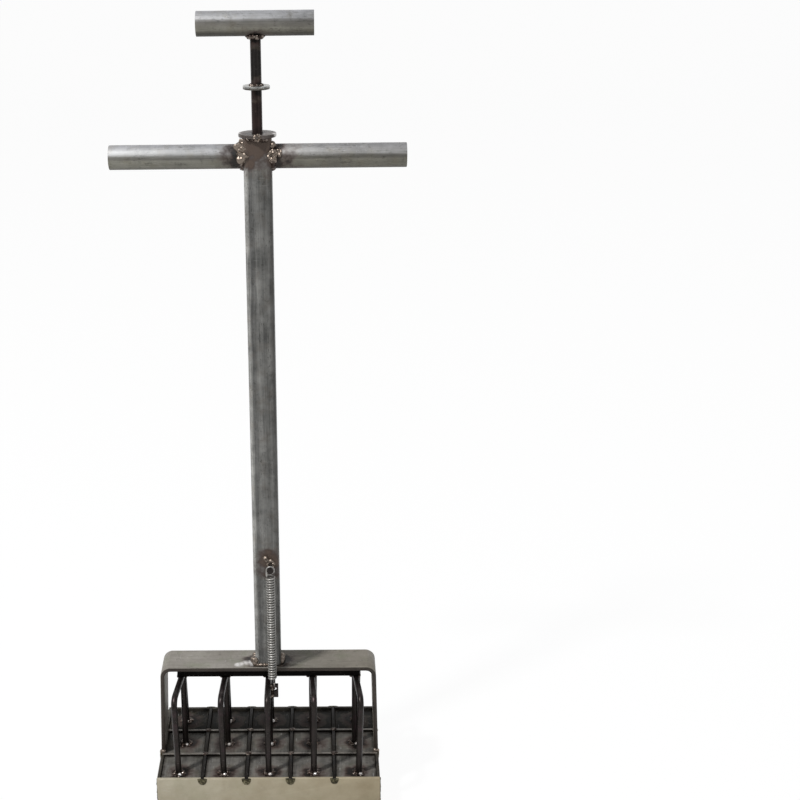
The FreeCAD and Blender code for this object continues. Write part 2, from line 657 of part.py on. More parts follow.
def main():
    """Build every piece and write it to parts/."""
    os.makedirs("parts", exist_ok=True)
    sides = {"left": -1, "right": 1}
    ends = {"front": -1, "back": 1}

    for name, side in ends.items():
        save(f"{name}_wall", long_wall(side))
    for name, side in sides.items():
        save(f"{name}_wall", short_wall(side))
    for number, x in enumerate(COLUMN_DIVIDERS, 1):
        save(f"column_divider_{number}", column_divider(x))
    for number, y in enumerate(ROW_DIVIDERS, 1):
        save(f"row_divider_{number}", row_divider(y))
    save("ear_welds", ear_welds())
    save("corner_welds", corner_welds())
    save("crossing_tacks", crossing_tacks())

    bar = hoop()
    save("hoop", bar)
    save("hoop_foot_welds", hoop_foot_welds(bar))
    save("post", post())
    save("post_foot_welds", post_foot_welds())
    save("guide_washer", washer(GUIDE_WASHER_DIAMETER, GUIDE_HOLE_RADIUS, GUIDE_WASHER_THICKNESS,
                                POST_TOP))
    for name, side in sides.items():
        save(f"{name}_handle", cross_handle(side))
    save("handle_welds", handle_welds())

    rod = push_rod()
    save("push_rod", rod)
    save("grip_pipe", grip_pipe())
    save("stop_washer", washer(STOP_WASHER_DIAMETER, ROD_DIAMETER / 2 + WELD_GAP,
                               STOP_WASHER_THICKNESS, STOP_UNDERSIDE))
    save("rod_welds", rod_welds())
    save("crossbar", crossbar())

    staples = [staple(column_x(column)) for column in range(COLUMNS)]
    legs = [middle_leg(column_x(column)) for column in range(COLUMNS)]
    for number, (bent, leg) in enumerate(zip(staples, legs), 1):
        save(f"staple_{number}", bent)
        save(f"middle_leg_{number}", leg)
    save("staple_welds", staple_welds(staples, rod))
    for row_name, row in zip(ROW_NAMES, range(ROWS)):
        for column in range(COLUMNS):
            save(f"plate_{row_name}_{column + 1}", push_plate(column, row))
    save("plate_welds", plate_welds(staples, legs))

    stud = anchor_stud()
    save("anchor_stud", stud)
    save("anchor_weld", anchor_weld(stud))
    save("spring_lug", spring_lug(staples[COLUMNS // 2]))
    save("return_spring", return_spring())
    print(f"overall: {2 * HANDLE_REACH:.0f} wide, {OUTER_DEPTH + 2 * EAR_WELD_HEIGHT:.0f} deep, "
          f"{GRIP_HEIGHT + GRIP_DIAMETER / 2:.1f} high, ejector travel {TRAVEL:.1f} mm")


if __name__ == "__main__":
    main()
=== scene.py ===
"""Looks of the fifteen-cell soil blocker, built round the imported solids.

Sizes are written in millimetres and turned into metres when a piece is finished. X runs along the
cross handles, Y from the front (the spring's side) to the back, and Z up. The origin is on the
ground in the middle of the mould's open rim.
"""

import logging
import math
import random
from dataclasses import dataclass, field, replace
from enum import Enum, IntEnum
from typing import Iterable, Optional, Sequence

import bmesh
import bpy
from mathutils import Matrix, Vector, noise

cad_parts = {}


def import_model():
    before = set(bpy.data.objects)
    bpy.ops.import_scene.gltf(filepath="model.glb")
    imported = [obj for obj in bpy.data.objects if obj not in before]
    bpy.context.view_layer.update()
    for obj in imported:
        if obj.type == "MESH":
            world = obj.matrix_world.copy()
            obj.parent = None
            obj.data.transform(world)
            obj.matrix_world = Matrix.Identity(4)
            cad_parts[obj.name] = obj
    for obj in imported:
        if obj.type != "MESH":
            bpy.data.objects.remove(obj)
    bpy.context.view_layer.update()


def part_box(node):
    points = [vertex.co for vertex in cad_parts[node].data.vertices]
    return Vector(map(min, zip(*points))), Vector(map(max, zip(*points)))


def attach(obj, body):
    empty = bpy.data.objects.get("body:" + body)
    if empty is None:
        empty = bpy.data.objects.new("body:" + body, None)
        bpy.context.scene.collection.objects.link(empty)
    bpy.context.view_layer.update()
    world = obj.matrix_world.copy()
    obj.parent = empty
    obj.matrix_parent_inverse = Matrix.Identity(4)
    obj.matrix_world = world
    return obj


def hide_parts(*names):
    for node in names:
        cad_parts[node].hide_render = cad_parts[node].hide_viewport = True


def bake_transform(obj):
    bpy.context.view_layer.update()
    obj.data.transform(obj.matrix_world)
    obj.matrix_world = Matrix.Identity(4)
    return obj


log = logging.getLogger("soil_blocker")

MM = 0.001
Colour = tuple[float, float, float]
Point = tuple[float, float, float]
X_AXIS = Vector((1, 0, 0))
Y_AXIS = Vector((0, 1, 0))
Z_AXIS = Vector((0, 0, 1))
EVEN = Vector((1, 1, 1))
LIT_POINT = Vector((0, 0, 0.35))

HOOP_TOP = 138.5
POST_WIDTH = 25.0
POST_LENGTH = 524.0
HANDLE_HEIGHT = 644.6
STOP_BOTTOM = 704.5
STOP_THICKNESS = 3.0
GRIP_HEIGHT = 761.3
PIPE_DIAMETER = 22.0
PIPE_WALL = 2.0
FILED_EDGE = 0.35


class Body(str, Enum):
    """The two bodies that the pieces ride on."""

    MOULD = "mould_frame"
    EJECTOR = "ejector"


class Slot(str, Enum):
    """The record's material slots."""

    MILL_STEEL = "mill_steel"
    PIPE = "galvanised_pipe"
    BLACK_ROD = "black_rod"
    ZINC = "zinc_plated"
    WELD = "weld_metal"
    SPRING = "spring_steel"


class Axis(IntEnum):
    """An axis of the object, by its place in a point."""

    X = 0
    Y = 1
    Z = 2


class Grain(Enum):
    """Direction in which a surface was rolled or drawn, as the squeeze of its streaks."""

    ALONG_X = (0.04, 1.0, 1.0)
    ALONG_Y = (1.0, 0.04, 1.0)
    ALONG_Z = (1.0, 1.0, 0.04)
    NONE = (1.0, 1.0, 1.0)


def srgb(red: int, green: int, blue: int) -> Colour:
    """Linear colour for the usual 0 to 255 screen values.

    Args:
        red: red channel.
        green: green channel.
        blue: blue channel.

    Returns:
        The colour.
    """
    def linear(value: int) -> float:
        """One channel."""
        share = value / 255
        return share / 12.92 if share <= 0.04045 else ((share + 0.055) / 1.055) ** 2.4
    return linear(red), linear(green), linear(blue)


class Graph:
    """Short way of writing a material's nodes."""

    def __init__(self, name: str) -> None:
        """Start an empty material with a Principled surface.

        Args:
            name: name of the material.
        """
        self.material = bpy.data.materials.new(name)
        self.material.use_nodes = True
        self.tree = self.material.node_tree
        self.tree.nodes.clear()
        self.surface = self.add("ShaderNodeBsdfPrincipled")
        output = self.add("ShaderNodeOutputMaterial")
        self.tree.links.new(self.surface.outputs[0], output.inputs[0])

    def add(self, kind: str, **settings: object) -> bpy.types.Node:
        """Add a node and set its properties.

        Args:
            kind: type of the node.
            settings: properties to set.

        Returns:
            The new node.
        """
        node = self.tree.nodes.new(kind)
        for key, value in settings.items():
            setattr(node, key, value)
        return node

    def feed(self, socket: bpy.types.NodeSocket, value: object) -> None:
        """Link another node's output into a socket, or set the socket to a plain value.

        Args:
            socket: the input to fill.
            value: an output, or a number, colour or vector.
        """
        if isinstance(value, bpy.types.NodeSocket):
            self.tree.links.new(value, socket)
        elif isinstance(value, tuple) and len(value) == 3 and socket.type == "RGBA":
            socket.default_value = (*value, 1.0)
        else:
            socket.default_value = value

    def place(self, squeeze: Point = (1.0, 1.0, 1.0), shift: Point = (0.0, 0.0, 0.0),
              turn: Point = (0.0, 0.0, 0.0)) -> bpy.types.NodeSocket:
        """The point on the object in millimetres, squeezed, shifted and turned.

        Args:
            squeeze: scale along each axis.
            shift: offset in millimetres.
            turn: turn about each axis, in radians.

        Returns:
            The point.
        """
        where = self.add("ShaderNodeTexCoord").outputs["Object"]
        mapping = self.add("ShaderNodeMapping")
        self.feed(mapping.inputs["Vector"], where)
        mapping.inputs["Location"].default_value = shift
        mapping.inputs["Rotation"].default_value = turn
        mapping.inputs["Scale"].default_value = [share / MM for share in squeeze]
        return mapping.outputs[0]

    def noise(self, vector: bpy.types.NodeSocket, grain_mm: float, detail: float = 4.0,
              roughness: float = 0.55) -> bpy.types.NodeSocket:
        """Soft noise from 0 to 1 whose blots are about grain_mm wide.

        Args:
            vector: the point that it is read at.
            grain_mm: width of its blots.
            detail: number of finer layers.
            roughness: strength of the finer layers.

        Returns:
            The noise.
        """
        node = self.add("ShaderNodeTexNoise")
        self.feed(node.inputs["Vector"], vector)
        node.inputs["Scale"].default_value = 1 / grain_mm
        node.inputs["Detail"].default_value = detail
        node.inputs["Roughness"].default_value = roughness
        return node.outputs[0]

    def span(self, value: bpy.types.NodeSocket, low: float, high: float, to_low: float = 0.0,
             to_high: float = 1.0) -> bpy.types.NodeSocket:
        """Stretch a number from one range to another and hold it at the ends.

        Args:
            value: the number.
            low: start of its range.
            high: end of its range.
            to_low: what the start becomes.
            to_high: what the end becomes.

        Returns:
            The new number.
        """
        node = self.add("ShaderNodeMapRange", clamp=True)
        for socket, number in zip(node.inputs, (value, low, high, to_low, to_high)):
            self.feed(socket, number)
        return node.outputs[0]

    def math(self, operation: str, first: object, second: object = 0.0,
             third: object = None) -> bpy.types.NodeSocket:
        """One arithmetic step.

        Args:
            operation: name of the step.
            first: its first number.
            second: its second number.
            third: its third number, where it has one.

        Returns:
            The result.
        """
        node = self.add("ShaderNodeMath", operation=operation)
        self.feed(node.inputs[0], first)
        self.feed(node.inputs[1], second)
        if third is not None:
            self.feed(node.inputs[2], third)
        return node.outputs[0]

    def average(self, first: bpy.types.NodeSocket, second: bpy.types.NodeSocket,
                share: float) -> bpy.types.NodeSocket:
        """Average of two numbers.

        Args:
            first: one number.
            second: the other.
            share: how much the first one counts.

        Returns:
            The average.
        """
        rest = self.math("MULTIPLY", second, 1 - share)
        return self.math("MULTIPLY_ADD", first, share, rest)

    def wander(self, vector: bpy.types.NodeSocket, grain_mm: float, reach: float,
               detail: float = 4.0) -> bpy.types.NodeSocket:
        """Noise that swings to both sides of 0.

        Args:
            vector: the point that it is read at.
            grain_mm: width of its blots.
            reach: how far it swings.
            detail: number of finer layers.

        Returns:
            The noise.
        """
        return self.span(self.noise(vector, grain_mm, detail), 0.3, 0.7, -reach, reach)

    def axes(self, where: Optional[bpy.types.NodeSocket] = None) -> list[bpy.types.NodeSocket]:
        """The three numbers of a point.

        Args:
            where: the point, or None for the point on the object.

        Returns:
            Its numbers along X, Y and Z.
        """
        split = self.add("ShaderNodeSeparateXYZ")
        self.feed(split.inputs[0], where or self.place())
        return list(split.outputs)

    def folded(self, value: bpy.types.NodeSocket, pitch: float) -> bpy.types.NodeSocket:
        """Distance from the nearest of places that lie one pitch apart, with its sign."""
        return self.math("WRAP", value, pitch / 2, -pitch / 2)

    def blend(self, share: object, first: object, second: object,
              mode: str = "MIX") -> bpy.types.NodeSocket:
        """Mix two colours.

        Args:
            share: how much of the second colour is laid on.
            first: colour underneath.
            second: colour on top.
            mode: way of mixing.

        Returns:
            The mixed colour.
        """
        node = self.add("ShaderNodeMix", data_type="RGBA", blend_type=mode)
        self.feed(node.inputs[0], share)
        self.feed(node.inputs[6], first)
        self.feed(node.inputs[7], second)
        return node.outputs[2]

    def ramp(self, value: bpy.types.NodeSocket,
             stops: Sequence[tuple[float, Colour]]) -> bpy.types.NodeSocket:
        """Colours laid out along a number from 0 to 1.

        Args:
            value: the number.
            stops: places and their colours.

        Returns:
            The colour.
        """
        node = self.add("ShaderNodeValToRGB")
        self.feed(node.inputs[0], value)
        band = node.color_ramp
        while len(band.elements) < len(stops):
            band.elements.new(1.0)
        for element, (place, colour) in zip(band.elements, stops):
            element.position = place
            element.color = (*colour, 1.0)
        return node.outputs[0]

    def nearness(self, spots: Sequence["HeatSpot"], wobble: float) -> bpy.types.NodeSocket:
        """Distance to the nearest marked spot as a share of its reach, made uneven by noise.

        Args:
            spots: the marked spots.
            wobble: how uneven the edge is, as a share of the reach.

        Returns:
            The share.
        """
        where = self.place()
        nearest: Optional[bpy.types.NodeSocket] = None
        for spot in spots:
            gap = self.add("ShaderNodeVectorMath", operation="DISTANCE")
            self.feed(gap.inputs[0], where)
            gap.inputs[1].default_value = spot.at
            share = self.math("DIVIDE", gap.outputs["Value"], spot.reach)
            nearest = share if nearest is None else self.math("MINIMUM", nearest, share)
        return self.math("ADD", nearest, self.wander(where, BURN_GRAIN, wobble))

    def bump(self, height: bpy.types.NodeSocket, depth_mm: float, strength: float) -> None:
        """Raise the surface a little by a height from 0 to 1.

        Args:
            height: the height.
            depth_mm: depth of the relief.
            strength: how strongly it is lit.
        """
        node = self.add("ShaderNodeBump")
        node.inputs["Strength"].default_value = strength
        node.inputs["Distance"].default_value = depth_mm * MM
        self.feed(node.inputs["Height"], height)
        self.feed(self.surface.inputs["Normal"], node.outputs[0])


BURNT_BROWN = srgb(62, 48, 43)
BURNT_PURPLE = srgb(84, 72, 68)
BURNT_STRAW = srgb(108, 98, 82)
BARE_STEEL_AND_GLINT = srgb(212, 209, 206)
BURN_GRAIN = 9.0
SPECKLE_GRAIN = 1.1
SCRATCH_GRAIN = 0.9
PIT_GRAIN = 0.9
WELD_GRAIN = 3.2
FLECK_GRAIN = 0.9
SPOT_WOBBLE = 0.28
ROW_WOBBLE = 0.22
GROUND_AND_GLINT_WOBBLE = 0.4


@dataclass(frozen=True)
class HeatSpot:
    """Place of a burn, ground patch or painted highlight, with the reach of its colours."""

    at: Point
    reach: float


@dataclass(frozen=True)
class Bands:
    """Tints laid over a surface from one place to another along an axis."""

    bottom: float
    top: float
    stops: tuple[tuple[float, Colour], ...]
    axis: Axis = Axis.Z


@dataclass(frozen=True)
class Finish:
    """A finish makes one material and knows its slot in the record, or None for the stage."""

    name: str
    slot: Optional[Slot]

    def material(self) -> bpy.types.Material:
        """The finish's material, made the first time that it is asked for."""
        return bpy.data.materials.get(self.name) or self.make()

    def make(self) -> bpy.types.Material:
        """Build the nodes."""
        raise NotImplementedError


@dataclass(frozen=True)
class SteelFinish(Finish):
    """Rolled or drawn steel: patches, streaks along the grain, scratches and burnt spots."""

    dark: Colour
    light: Colour
    tint: Colour
    grain: Grain = Grain.NONE
    patch_mm: float = 30.0
    streak_mm: float = 2.5
    tint_share: float = 0.5
    metallic: float = 0.4
    rough: tuple[float, float] = (0.4, 0.62)
    scratch_share: float = 0.3
    scratch_colour: Colour = (0.6, 0.6, 0.58)
    grime_and_shade: Colour = (0.03, 0.025, 0.02)
    grime_share: float = 0.35
    heat: tuple[HeatSpot, ...] = ()
    heat_rows: Optional[tuple[float, float, float]] = None
    rim_shade_pitch: float = 0.0
    bands: Optional[Bands] = None
    # Spots given bare steel's colour: ground patches, and painted highlights on the guide washer.
    ground: tuple[HeatSpot, ...] = ()
    soot: Colour = srgb(22, 17, 15)
    speck_share: float = 0.0
    bump_mm: float = 0.12
    bump_strength: float = 0.5
    gloss: float = 0.5

    def make(self) -> bpy.types.Material:
        """Build the nodes.

        Returns:
            The material.
        """
        graph = Graph(self.name)
        where = graph.place()
        along = graph.place(squeeze=self.grain.value)
        patches = graph.span(graph.noise(where, self.patch_mm, 5.0, 0.62), 0.34, 0.66)
        streaks = graph.span(graph.noise(along, self.streak_mm, 3.0, 0.6), 0.3, 0.7)
        speckle = graph.span(graph.noise(where, SPECKLE_GRAIN, 3.0, 0.7), 0.3, 0.75)
        colour = graph.blend(graph.average(patches, streaks, 0.5), self.dark, self.light)
        other = graph.place(shift=(31.0, 17.0, 7.0))
        tinted = graph.span(graph.noise(other, self.patch_mm * 0.6, 4.0), 0.5, 0.72, 0.0,
                            self.tint_share)
        colour = graph.blend(tinted, colour, self.tint)
        dirt = graph.span(graph.noise(other, self.patch_mm * 0.25, 6.0, 0.7), 0.56, 0.72, 0.0,
                          self.grime_share)
        colour = graph.blend(dirt, colour, self.grime_and_shade)
        if self.speck_share:
            colour = graph.blend(self.specks(graph), colour, self.grime_and_shade)
        colour = graph.blend(self.scratches(graph), colour, self.scratch_colour)
        if self.bands:
            colour = self.tint_along(graph, colour, self.bands)
        # Painted shade along the plates' edges, in the colour also used for grime and pits.
        if self.rim_shade_pitch:
            colour = graph.blend(self.rim_shade(graph), colour, self.grime_and_shade)
        colour = self.burn(graph, colour)
        # Bare steel round the ground spots; on the guide washer these spots are painted highlights.
        if self.ground:
            bare_and_glint = graph.span(graph.nearness(self.ground, GROUND_AND_GLINT_WOBBLE), 0.4, 1.0, 0.85, 0.0)
            colour = graph.blend(bare_and_glint, colour, BARE_STEEL_AND_GLINT)
        graph.feed(graph.surface.inputs["Base Color"], colour)
        graph.surface.inputs["Metallic"].default_value = self.metallic
        graph.surface.inputs["Specular IOR Level"].default_value = self.gloss
        dull = graph.average(speckle, streaks, 0.4)
        graph.feed(graph.surface.inputs["Roughness"], graph.span(dull, 0.0, 1.0, *self.rough))
        graph.bump(graph.average(speckle, streaks, 0.6), self.bump_mm, self.bump_strength)
        return graph.material

    def scratches(self, graph: Graph) -> bpy.types.NodeSocket:
        """Share of fine bright scratches: short, slanting and in scattered groups.

        Args:
            graph: the material that grows.

        Returns:
            The share.
        """
        groups = graph.noise(graph.place(shift=(5.0, 3.0, 9.0)), 14.0, 2.0)
        total: Optional[bpy.types.NodeSocket] = None
        for turn, squeeze, low in (((0.35, 0.55, 0.62), (0.09, 1.0, 1.0), 0.5),
                                   ((-0.9, 0.3, -1.1), (1.0, 0.12, 1.0), 0.42)):
            lines = graph.noise(graph.place(squeeze=squeeze, turn=turn), SCRATCH_GRAIN, 1.0, 0.3)
            sharp = graph.span(lines, 0.68, 0.76, 0.0, self.scratch_share)
            kept = graph.math("MULTIPLY", sharp, graph.span(groups, low, low + 0.12))
            total = kept if total is None else graph.math("MAXIMUM", total, kept)
        return total

    def rim_shade(self, graph: Graph) -> bpy.types.NodeSocket:
        """Share of painted shade along the edges of plates that stand one pitch apart.

        Args:
            graph: the material that grows.

        Returns:
            The share.
        """
        reaches = [graph.math("ABSOLUTE", graph.folded(place, self.rim_shade_pitch))
                   for place in graph.axes()[:2]]
        uneven = graph.wander(graph.place(), 5.0, 1.6)
        reach = graph.math("ADD", graph.math("MAXIMUM", *reaches), uneven)
        return graph.span(reach, self.rim_shade_pitch * 0.38, self.rim_shade_pitch * 0.45, 0.0, 0.75)

    def specks(self, graph: Graph) -> bpy.types.NodeSocket:
        """Share of short dark pits and scale marks that lie along the grain in groups.

        Args:
            graph: the material that grows.

        Returns:
            The share.
        """
        squeeze = tuple(max(share, 0.22) for share in self.grain.value)
        where = graph.place(squeeze=squeeze, shift=(2.0, 8.0, 4.0))
        marks = graph.noise(where, PIT_GRAIN, 3.0, 0.6)
        groups = graph.noise(graph.place(squeeze=squeeze, shift=(9.0, 1.0, 6.0)), 7.0, 2.0)
        sharp = graph.span(marks, 0.56, 0.66, 0.0, self.speck_share)
        return graph.math("MULTIPLY", sharp, graph.span(groups, 0.48, 0.62))

    def tint_along(self, graph: Graph, colour: bpy.types.NodeSocket,
                   bands: Bands) -> bpy.types.NodeSocket:
        """Multiply the colour by tints that change along an axis, with slightly uneven edges.

        Args:
            graph: the material that grows.
            colour: colour underneath.
            bands: the tints.

        Returns:
            The tinted colour.
        """
        uneven = graph.wander(graph.place(squeeze=self.grain.value), 2.0, 0.6, 3.0)
        height = graph.math("ADD", graph.axes()[bands.axis], uneven)
        share = graph.span(height, bands.bottom, bands.top)
        return graph.blend(1.0, colour, graph.ramp(share, bands.stops), "MULTIPLY")

    def burn(self, graph: Graph, colour: bpy.types.NodeSocket) -> bpy.types.NodeSocket:
        """Lay soot, brown, purple and straw rings round the welds.

        Args:
            graph: the material that grows.
            colour: colour underneath.

        Returns:
            The burnt colour.
        """
        shares = []
        if self.heat:
            shares.append(graph.nearness(self.heat, SPOT_WOBBLE))
        if self.heat_rows:
            shares.append(self.row_nearness(graph, *self.heat_rows))
        for share in shares:
            rings = graph.ramp(share, ((0.0, self.soot), (0.4, self.soot), (0.62, BURNT_BROWN),
                                       (0.78, BURNT_PURPLE), (0.92, BURNT_STRAW)))
            colour = graph.blend(graph.span(share, 0.5, 1.0, 0.94, 0.0), colour, rings)
        return colour

    @staticmethod
    def row_nearness(graph: Graph, pitch: float, row_y: float,
                     reach: float) -> bpy.types.NodeSocket:
        """Nearness to a row of feet that stand one pitch apart along X.

        Args:
            graph: the material that grows.
            pitch: spacing of the feet.
            row_y: how far back they stand.
            reach: radius of the burnt ring.

        Returns:
            Distance to the nearest foot as a share of the reach.
        """
        where = graph.place()
        places = graph.axes(where)
        across = graph.folded(places[Axis.X], pitch)
        deep = graph.math("SUBTRACT", places[Axis.Y], row_y)
        far = graph.math("SQRT", graph.math("ADD", graph.math("MULTIPLY", across, across),
                                            graph.math("MULTIPLY", deep, deep)))
        uneven = graph.wander(where, BURN_GRAIN, ROW_WOBBLE)
        return graph.math("ADD", graph.math("DIVIDE", far, reach), uneven)


@dataclass(frozen=True)
class WeldFinish(Finish):
    """Weld metal: burnt brown and coppery lumps with bright, glassy spots."""

    burnt: Colour = srgb(52, 42, 44)
    copper: Colour = srgb(142, 126, 128)
    bright: Colour = srgb(226, 218, 222)
    bright_share: float = 0.75

    def make(self) -> bpy.types.Material:
        """Build the nodes.

        Returns:
            The material.
        """
        graph = Graph(self.name)
        where = graph.place()
        blots = graph.noise(where, WELD_GRAIN, 3.0, 0.6)
        colour = graph.ramp(graph.span(blots, 0.3, 0.72),
                            ((0.0, self.burnt), (0.45, self.copper), (0.8, self.bright)))
        flecks = graph.span(graph.noise(where, FLECK_GRAIN, 2.0, 0.5), 0.55, 0.75, 0.0,
                            self.bright_share)
        colour = graph.blend(flecks, colour, self.bright)
        graph.feed(graph.surface.inputs["Base Color"], colour)
        graph.surface.inputs["Metallic"].default_value = 0.85
        graph.feed(graph.surface.inputs["Roughness"], graph.span(blots, 0.3, 0.7, 0.5, 0.2))
        ripples = graph.add("ShaderNodeTexVoronoi", feature="SMOOTH_F1")
        graph.feed(ripples.inputs["Vector"], where)
        ripples.inputs["Scale"].default_value = 0.8
        graph.bump(ripples.outputs["Distance"], 0.5, 0.6)
        return graph.material


@dataclass(frozen=True)
class PaleFinish(Finish):
    """Plain pale paper for the floor and backdrop, a little lifted where the camera sees it."""

    shade: Colour = (0.95, 0.95, 0.95)
    unseen: Colour = (0.6, 0.59, 0.56)
    lift: float = 0.95

    def make(self) -> bpy.types.Material:
        """Build the nodes.

        Returns:
            The material.
        """
        graph = Graph(self.name)
        path = graph.add("ShaderNodeLightPath").outputs
        seen = graph.math("MAXIMUM", path["Is Camera Ray"], path["Is Glossy Ray"])
        graph.feed(graph.surface.inputs["Base Color"], graph.blend(seen, self.unseen, self.shade))
        graph.surface.inputs["Roughness"].default_value = 0.9
        graph.surface.inputs["Specular IOR Level"].default_value = 0.1
        glow = graph.add("ShaderNodeEmission")
        glow.inputs["Strength"].default_value = 1.0
        mixed = graph.add("ShaderNodeMixShader")
        graph.feed(mixed.inputs[0], graph.math("MULTIPLY", seen, self.lift))
        graph.feed(mixed.inputs[1], graph.surface.outputs[0])
        graph.feed(mixed.inputs[2], glow.outputs[0])
        output = graph.tree.get_output_node("ALL")
        graph.feed(output.inputs[0], mixed.outputs[0])
        return graph.material


WELD = WeldFinish("weld_metal", Slot.WELD)
DULL_WELD = WeldFinish("dull_weld_metal", Slot.WELD, burnt=srgb(26, 21, 18),
                       copper=srgb(62, 49, 43), bright=srgb(132, 122, 114), bright_share=0.3)
GREEN_WELD = WeldFinish("green_weld_metal", Slot.WELD, burnt=srgb(34, 31, 22),
                        copper=srgb(62, 58, 41), bright=srgb(112, 106, 84), bright_share=0.2)
# Near-white weld metal for one lump at each foot's front: a painted highlight.
GLINT_WELD = WeldFinish("glint_weld_metal", Slot.WELD, burnt=srgb(120, 108, 100),
                       copper=srgb(200, 192, 186), bright=srgb(246, 243, 240))
WHITE = srgb(255, 255, 255)
# Painted light across the post's front: a painted highlight along the left edge, a dark line of
# painted shade beside it, and a middle that fades to the right in painted shade.
POST_HIGHLIGHT_AND_SHADE_TINTS = ((0.0, WHITE), (0.09, srgb(250, 250, 248)), (0.17, srgb(158, 158, 157)),
              (0.26, srgb(156, 156, 155)), (0.4, srgb(190, 190, 188)), (0.55, srgb(174, 174, 172)),
              (0.7, srgb(154, 154, 152)), (0.8, srgb(168, 168, 166)), (0.9, srgb(146, 146, 144)),
              (1.0, srgb(138, 138, 136)))
POST_STEEL = SteelFinish(
    "post_steel", Slot.MILL_STEEL, dark=srgb(91, 91, 90), light=srgb(194, 193, 191),
    tint=srgb(138, 130, 122), grain=Grain.ALONG_Z, patch_mm=18.0, streak_mm=1.8,
    metallic=0.25, gloss=0.4, grime_share=0.6, speck_share=0.7, soot=srgb(80, 66, 57),
    bands=Bands(-POST_WIDTH / 2, POST_WIDTH / 2, POST_HIGHLIGHT_AND_SHADE_TINTS, Axis.X),
    heat=(HeatSpot((0.0, -10.0, 661.0), 27.0), HeatSpot((-14.0, -6.0, 644.0), 19.0),
          HeatSpot((14.0, -6.0, 644.0), 19.0), HeatSpot((3.0, -12.5, 250.0), 19.0),
          HeatSpot((-14.0, 0.0, 138.0), 14.0), HeatSpot((14.0, 0.0, 138.0), 12.0)))
# Painted shadow and shade: the hoop's bands darken the bar right of the post, most just beside it.
HOOP_STEEL = SteelFinish(
    "hoop_steel", Slot.MILL_STEEL, dark=srgb(116, 111, 103), light=srgb(151, 146, 139),
    tint=srgb(116, 120, 100), grain=Grain.ALONG_X, patch_mm=26.0, streak_mm=3.0,
    metallic=0.2, gloss=0.35, scratch_share=0.2, grime_share=0.5, speck_share=0.35,
    bands=Bands(-104.0, 104.0, ((0.0, WHITE), (0.5, srgb(252, 252, 252)),
                                (0.6, srgb(206, 205, 201)), (0.75, srgb(214, 212, 206)),
                                (1.0, srgb(228, 225, 218))), Axis.X),
    ground=(HeatSpot((-30.5, -8.4, 138.5), 3.6), HeatSpot((-26.5, -7.4, 138.5), 4.6),
            HeatSpot((-22.0, -6.4, 138.5), 5.2), HeatSpot((-17.5, -5.6, 138.5), 5.2)),
    heat=(HeatSpot((-15.0, -2.0, 138.5), 14.0), HeatSpot((15.0, 0.0, 138.5), 17.0),
          HeatSpot((-108.0, -18.0, 44.0), 13.0), HeatSpot((108.0, -18.0, 44.0), 13.0),
          HeatSpot((-108.0, 18.0, 44.0), 13.0), HeatSpot((108.0, 18.0, 44.0), 13.0)))
# Painted shade: the wall's bands darken it towards its right end.
WALL_STEEL = SteelFinish(
    "wall_steel", Slot.MILL_STEEL, dark=srgb(154, 145, 124), light=srgb(179, 172, 154),
    tint=srgb(148, 144, 120), patch_mm=46.0, streak_mm=14.0, tint_share=0.4,
    metallic=0.2, scratch_share=0.12, grime_share=0.1, rough=(0.5, 0.68), bump_mm=0.06,
    bands=Bands(-109.0, 109.0, ((0.0, WHITE), (1.0, srgb(236, 228, 214))), Axis.X))
EDGE_STEEL = SteelFinish(
    "cut_edge_steel", Slot.MILL_STEEL, dark=srgb(38, 33, 29), light=srgb(66, 58, 51),
    tint=srgb(58, 47, 40), grain=Grain.ALONG_X, patch_mm=20.0, streak_mm=2.0, metallic=0.3,
    grime_share=0.5, scratch_share=0.1)
STRIP_STEEL = SteelFinish(
    "divider_top_steel", Slot.MILL_STEEL, dark=srgb(86, 82, 77), light=srgb(138, 132, 124),
    tint=srgb(66, 58, 50), patch_mm=12.0, streak_mm=2.0, grime_share=0.5, scratch_share=0.2)
# Painted shade for the walls' inner faces and for the tops of the back and side walls.
SHADED_WALL_STEEL = SteelFinish(
    "shaded_wall_steel", Slot.MILL_STEEL, dark=srgb(34, 31, 26), light=srgb(70, 65, 56),
    tint=srgb(56, 50, 38), patch_mm=24.0, streak_mm=3.0, grime_share=0.6, scratch_share=0.12)
# Near-black dividers: painted shade that stands for the gaps and shadows between the plates.
SHADED_DIVIDER_STEEL = SteelFinish(
    "shaded_divider_steel", Slot.MILL_STEEL, dark=srgb(14, 12, 10), light=srgb(34, 30, 26),
    tint=srgb(34, 28, 21), patch_mm=12.0, streak_mm=2.0, grime_share=0.7, scratch_share=0.1,
    metallic=0.15, gloss=0.15)
# Painted light on the handles from their underside up, and on the grip, whose painted shade reaches
# further up: a shaded underside, a painted dark reflection line and a painted highlight band above.
PIPE_HIGHLIGHT_AND_SHADE_TINTS = ((0.0, srgb(120, 116, 106)), (0.08, srgb(178, 176, 166)), (0.2, srgb(208, 206, 193)),
              (0.42, srgb(200, 198, 185)), (0.52, srgb(158, 155, 147)), (0.6, srgb(174, 172, 166)),
              (0.7, srgb(246, 246, 246)), (1.0, srgb(228, 228, 232)))
GRIP_HIGHLIGHT_AND_SHADE_TINTS = ((0.0, srgb(84, 80, 74)), (0.16, srgb(132, 128, 118)), (0.26, srgb(190, 186, 172)),
              (0.36, srgb(200, 197, 184)), (0.46, srgb(172, 168, 158)), (0.62, srgb(146, 143, 138)),
              (0.68, srgb(170, 168, 166)), (0.74, srgb(212, 212, 214)), (0.84, srgb(204, 204, 206)),
              (1.0, srgb(226, 226, 230)))
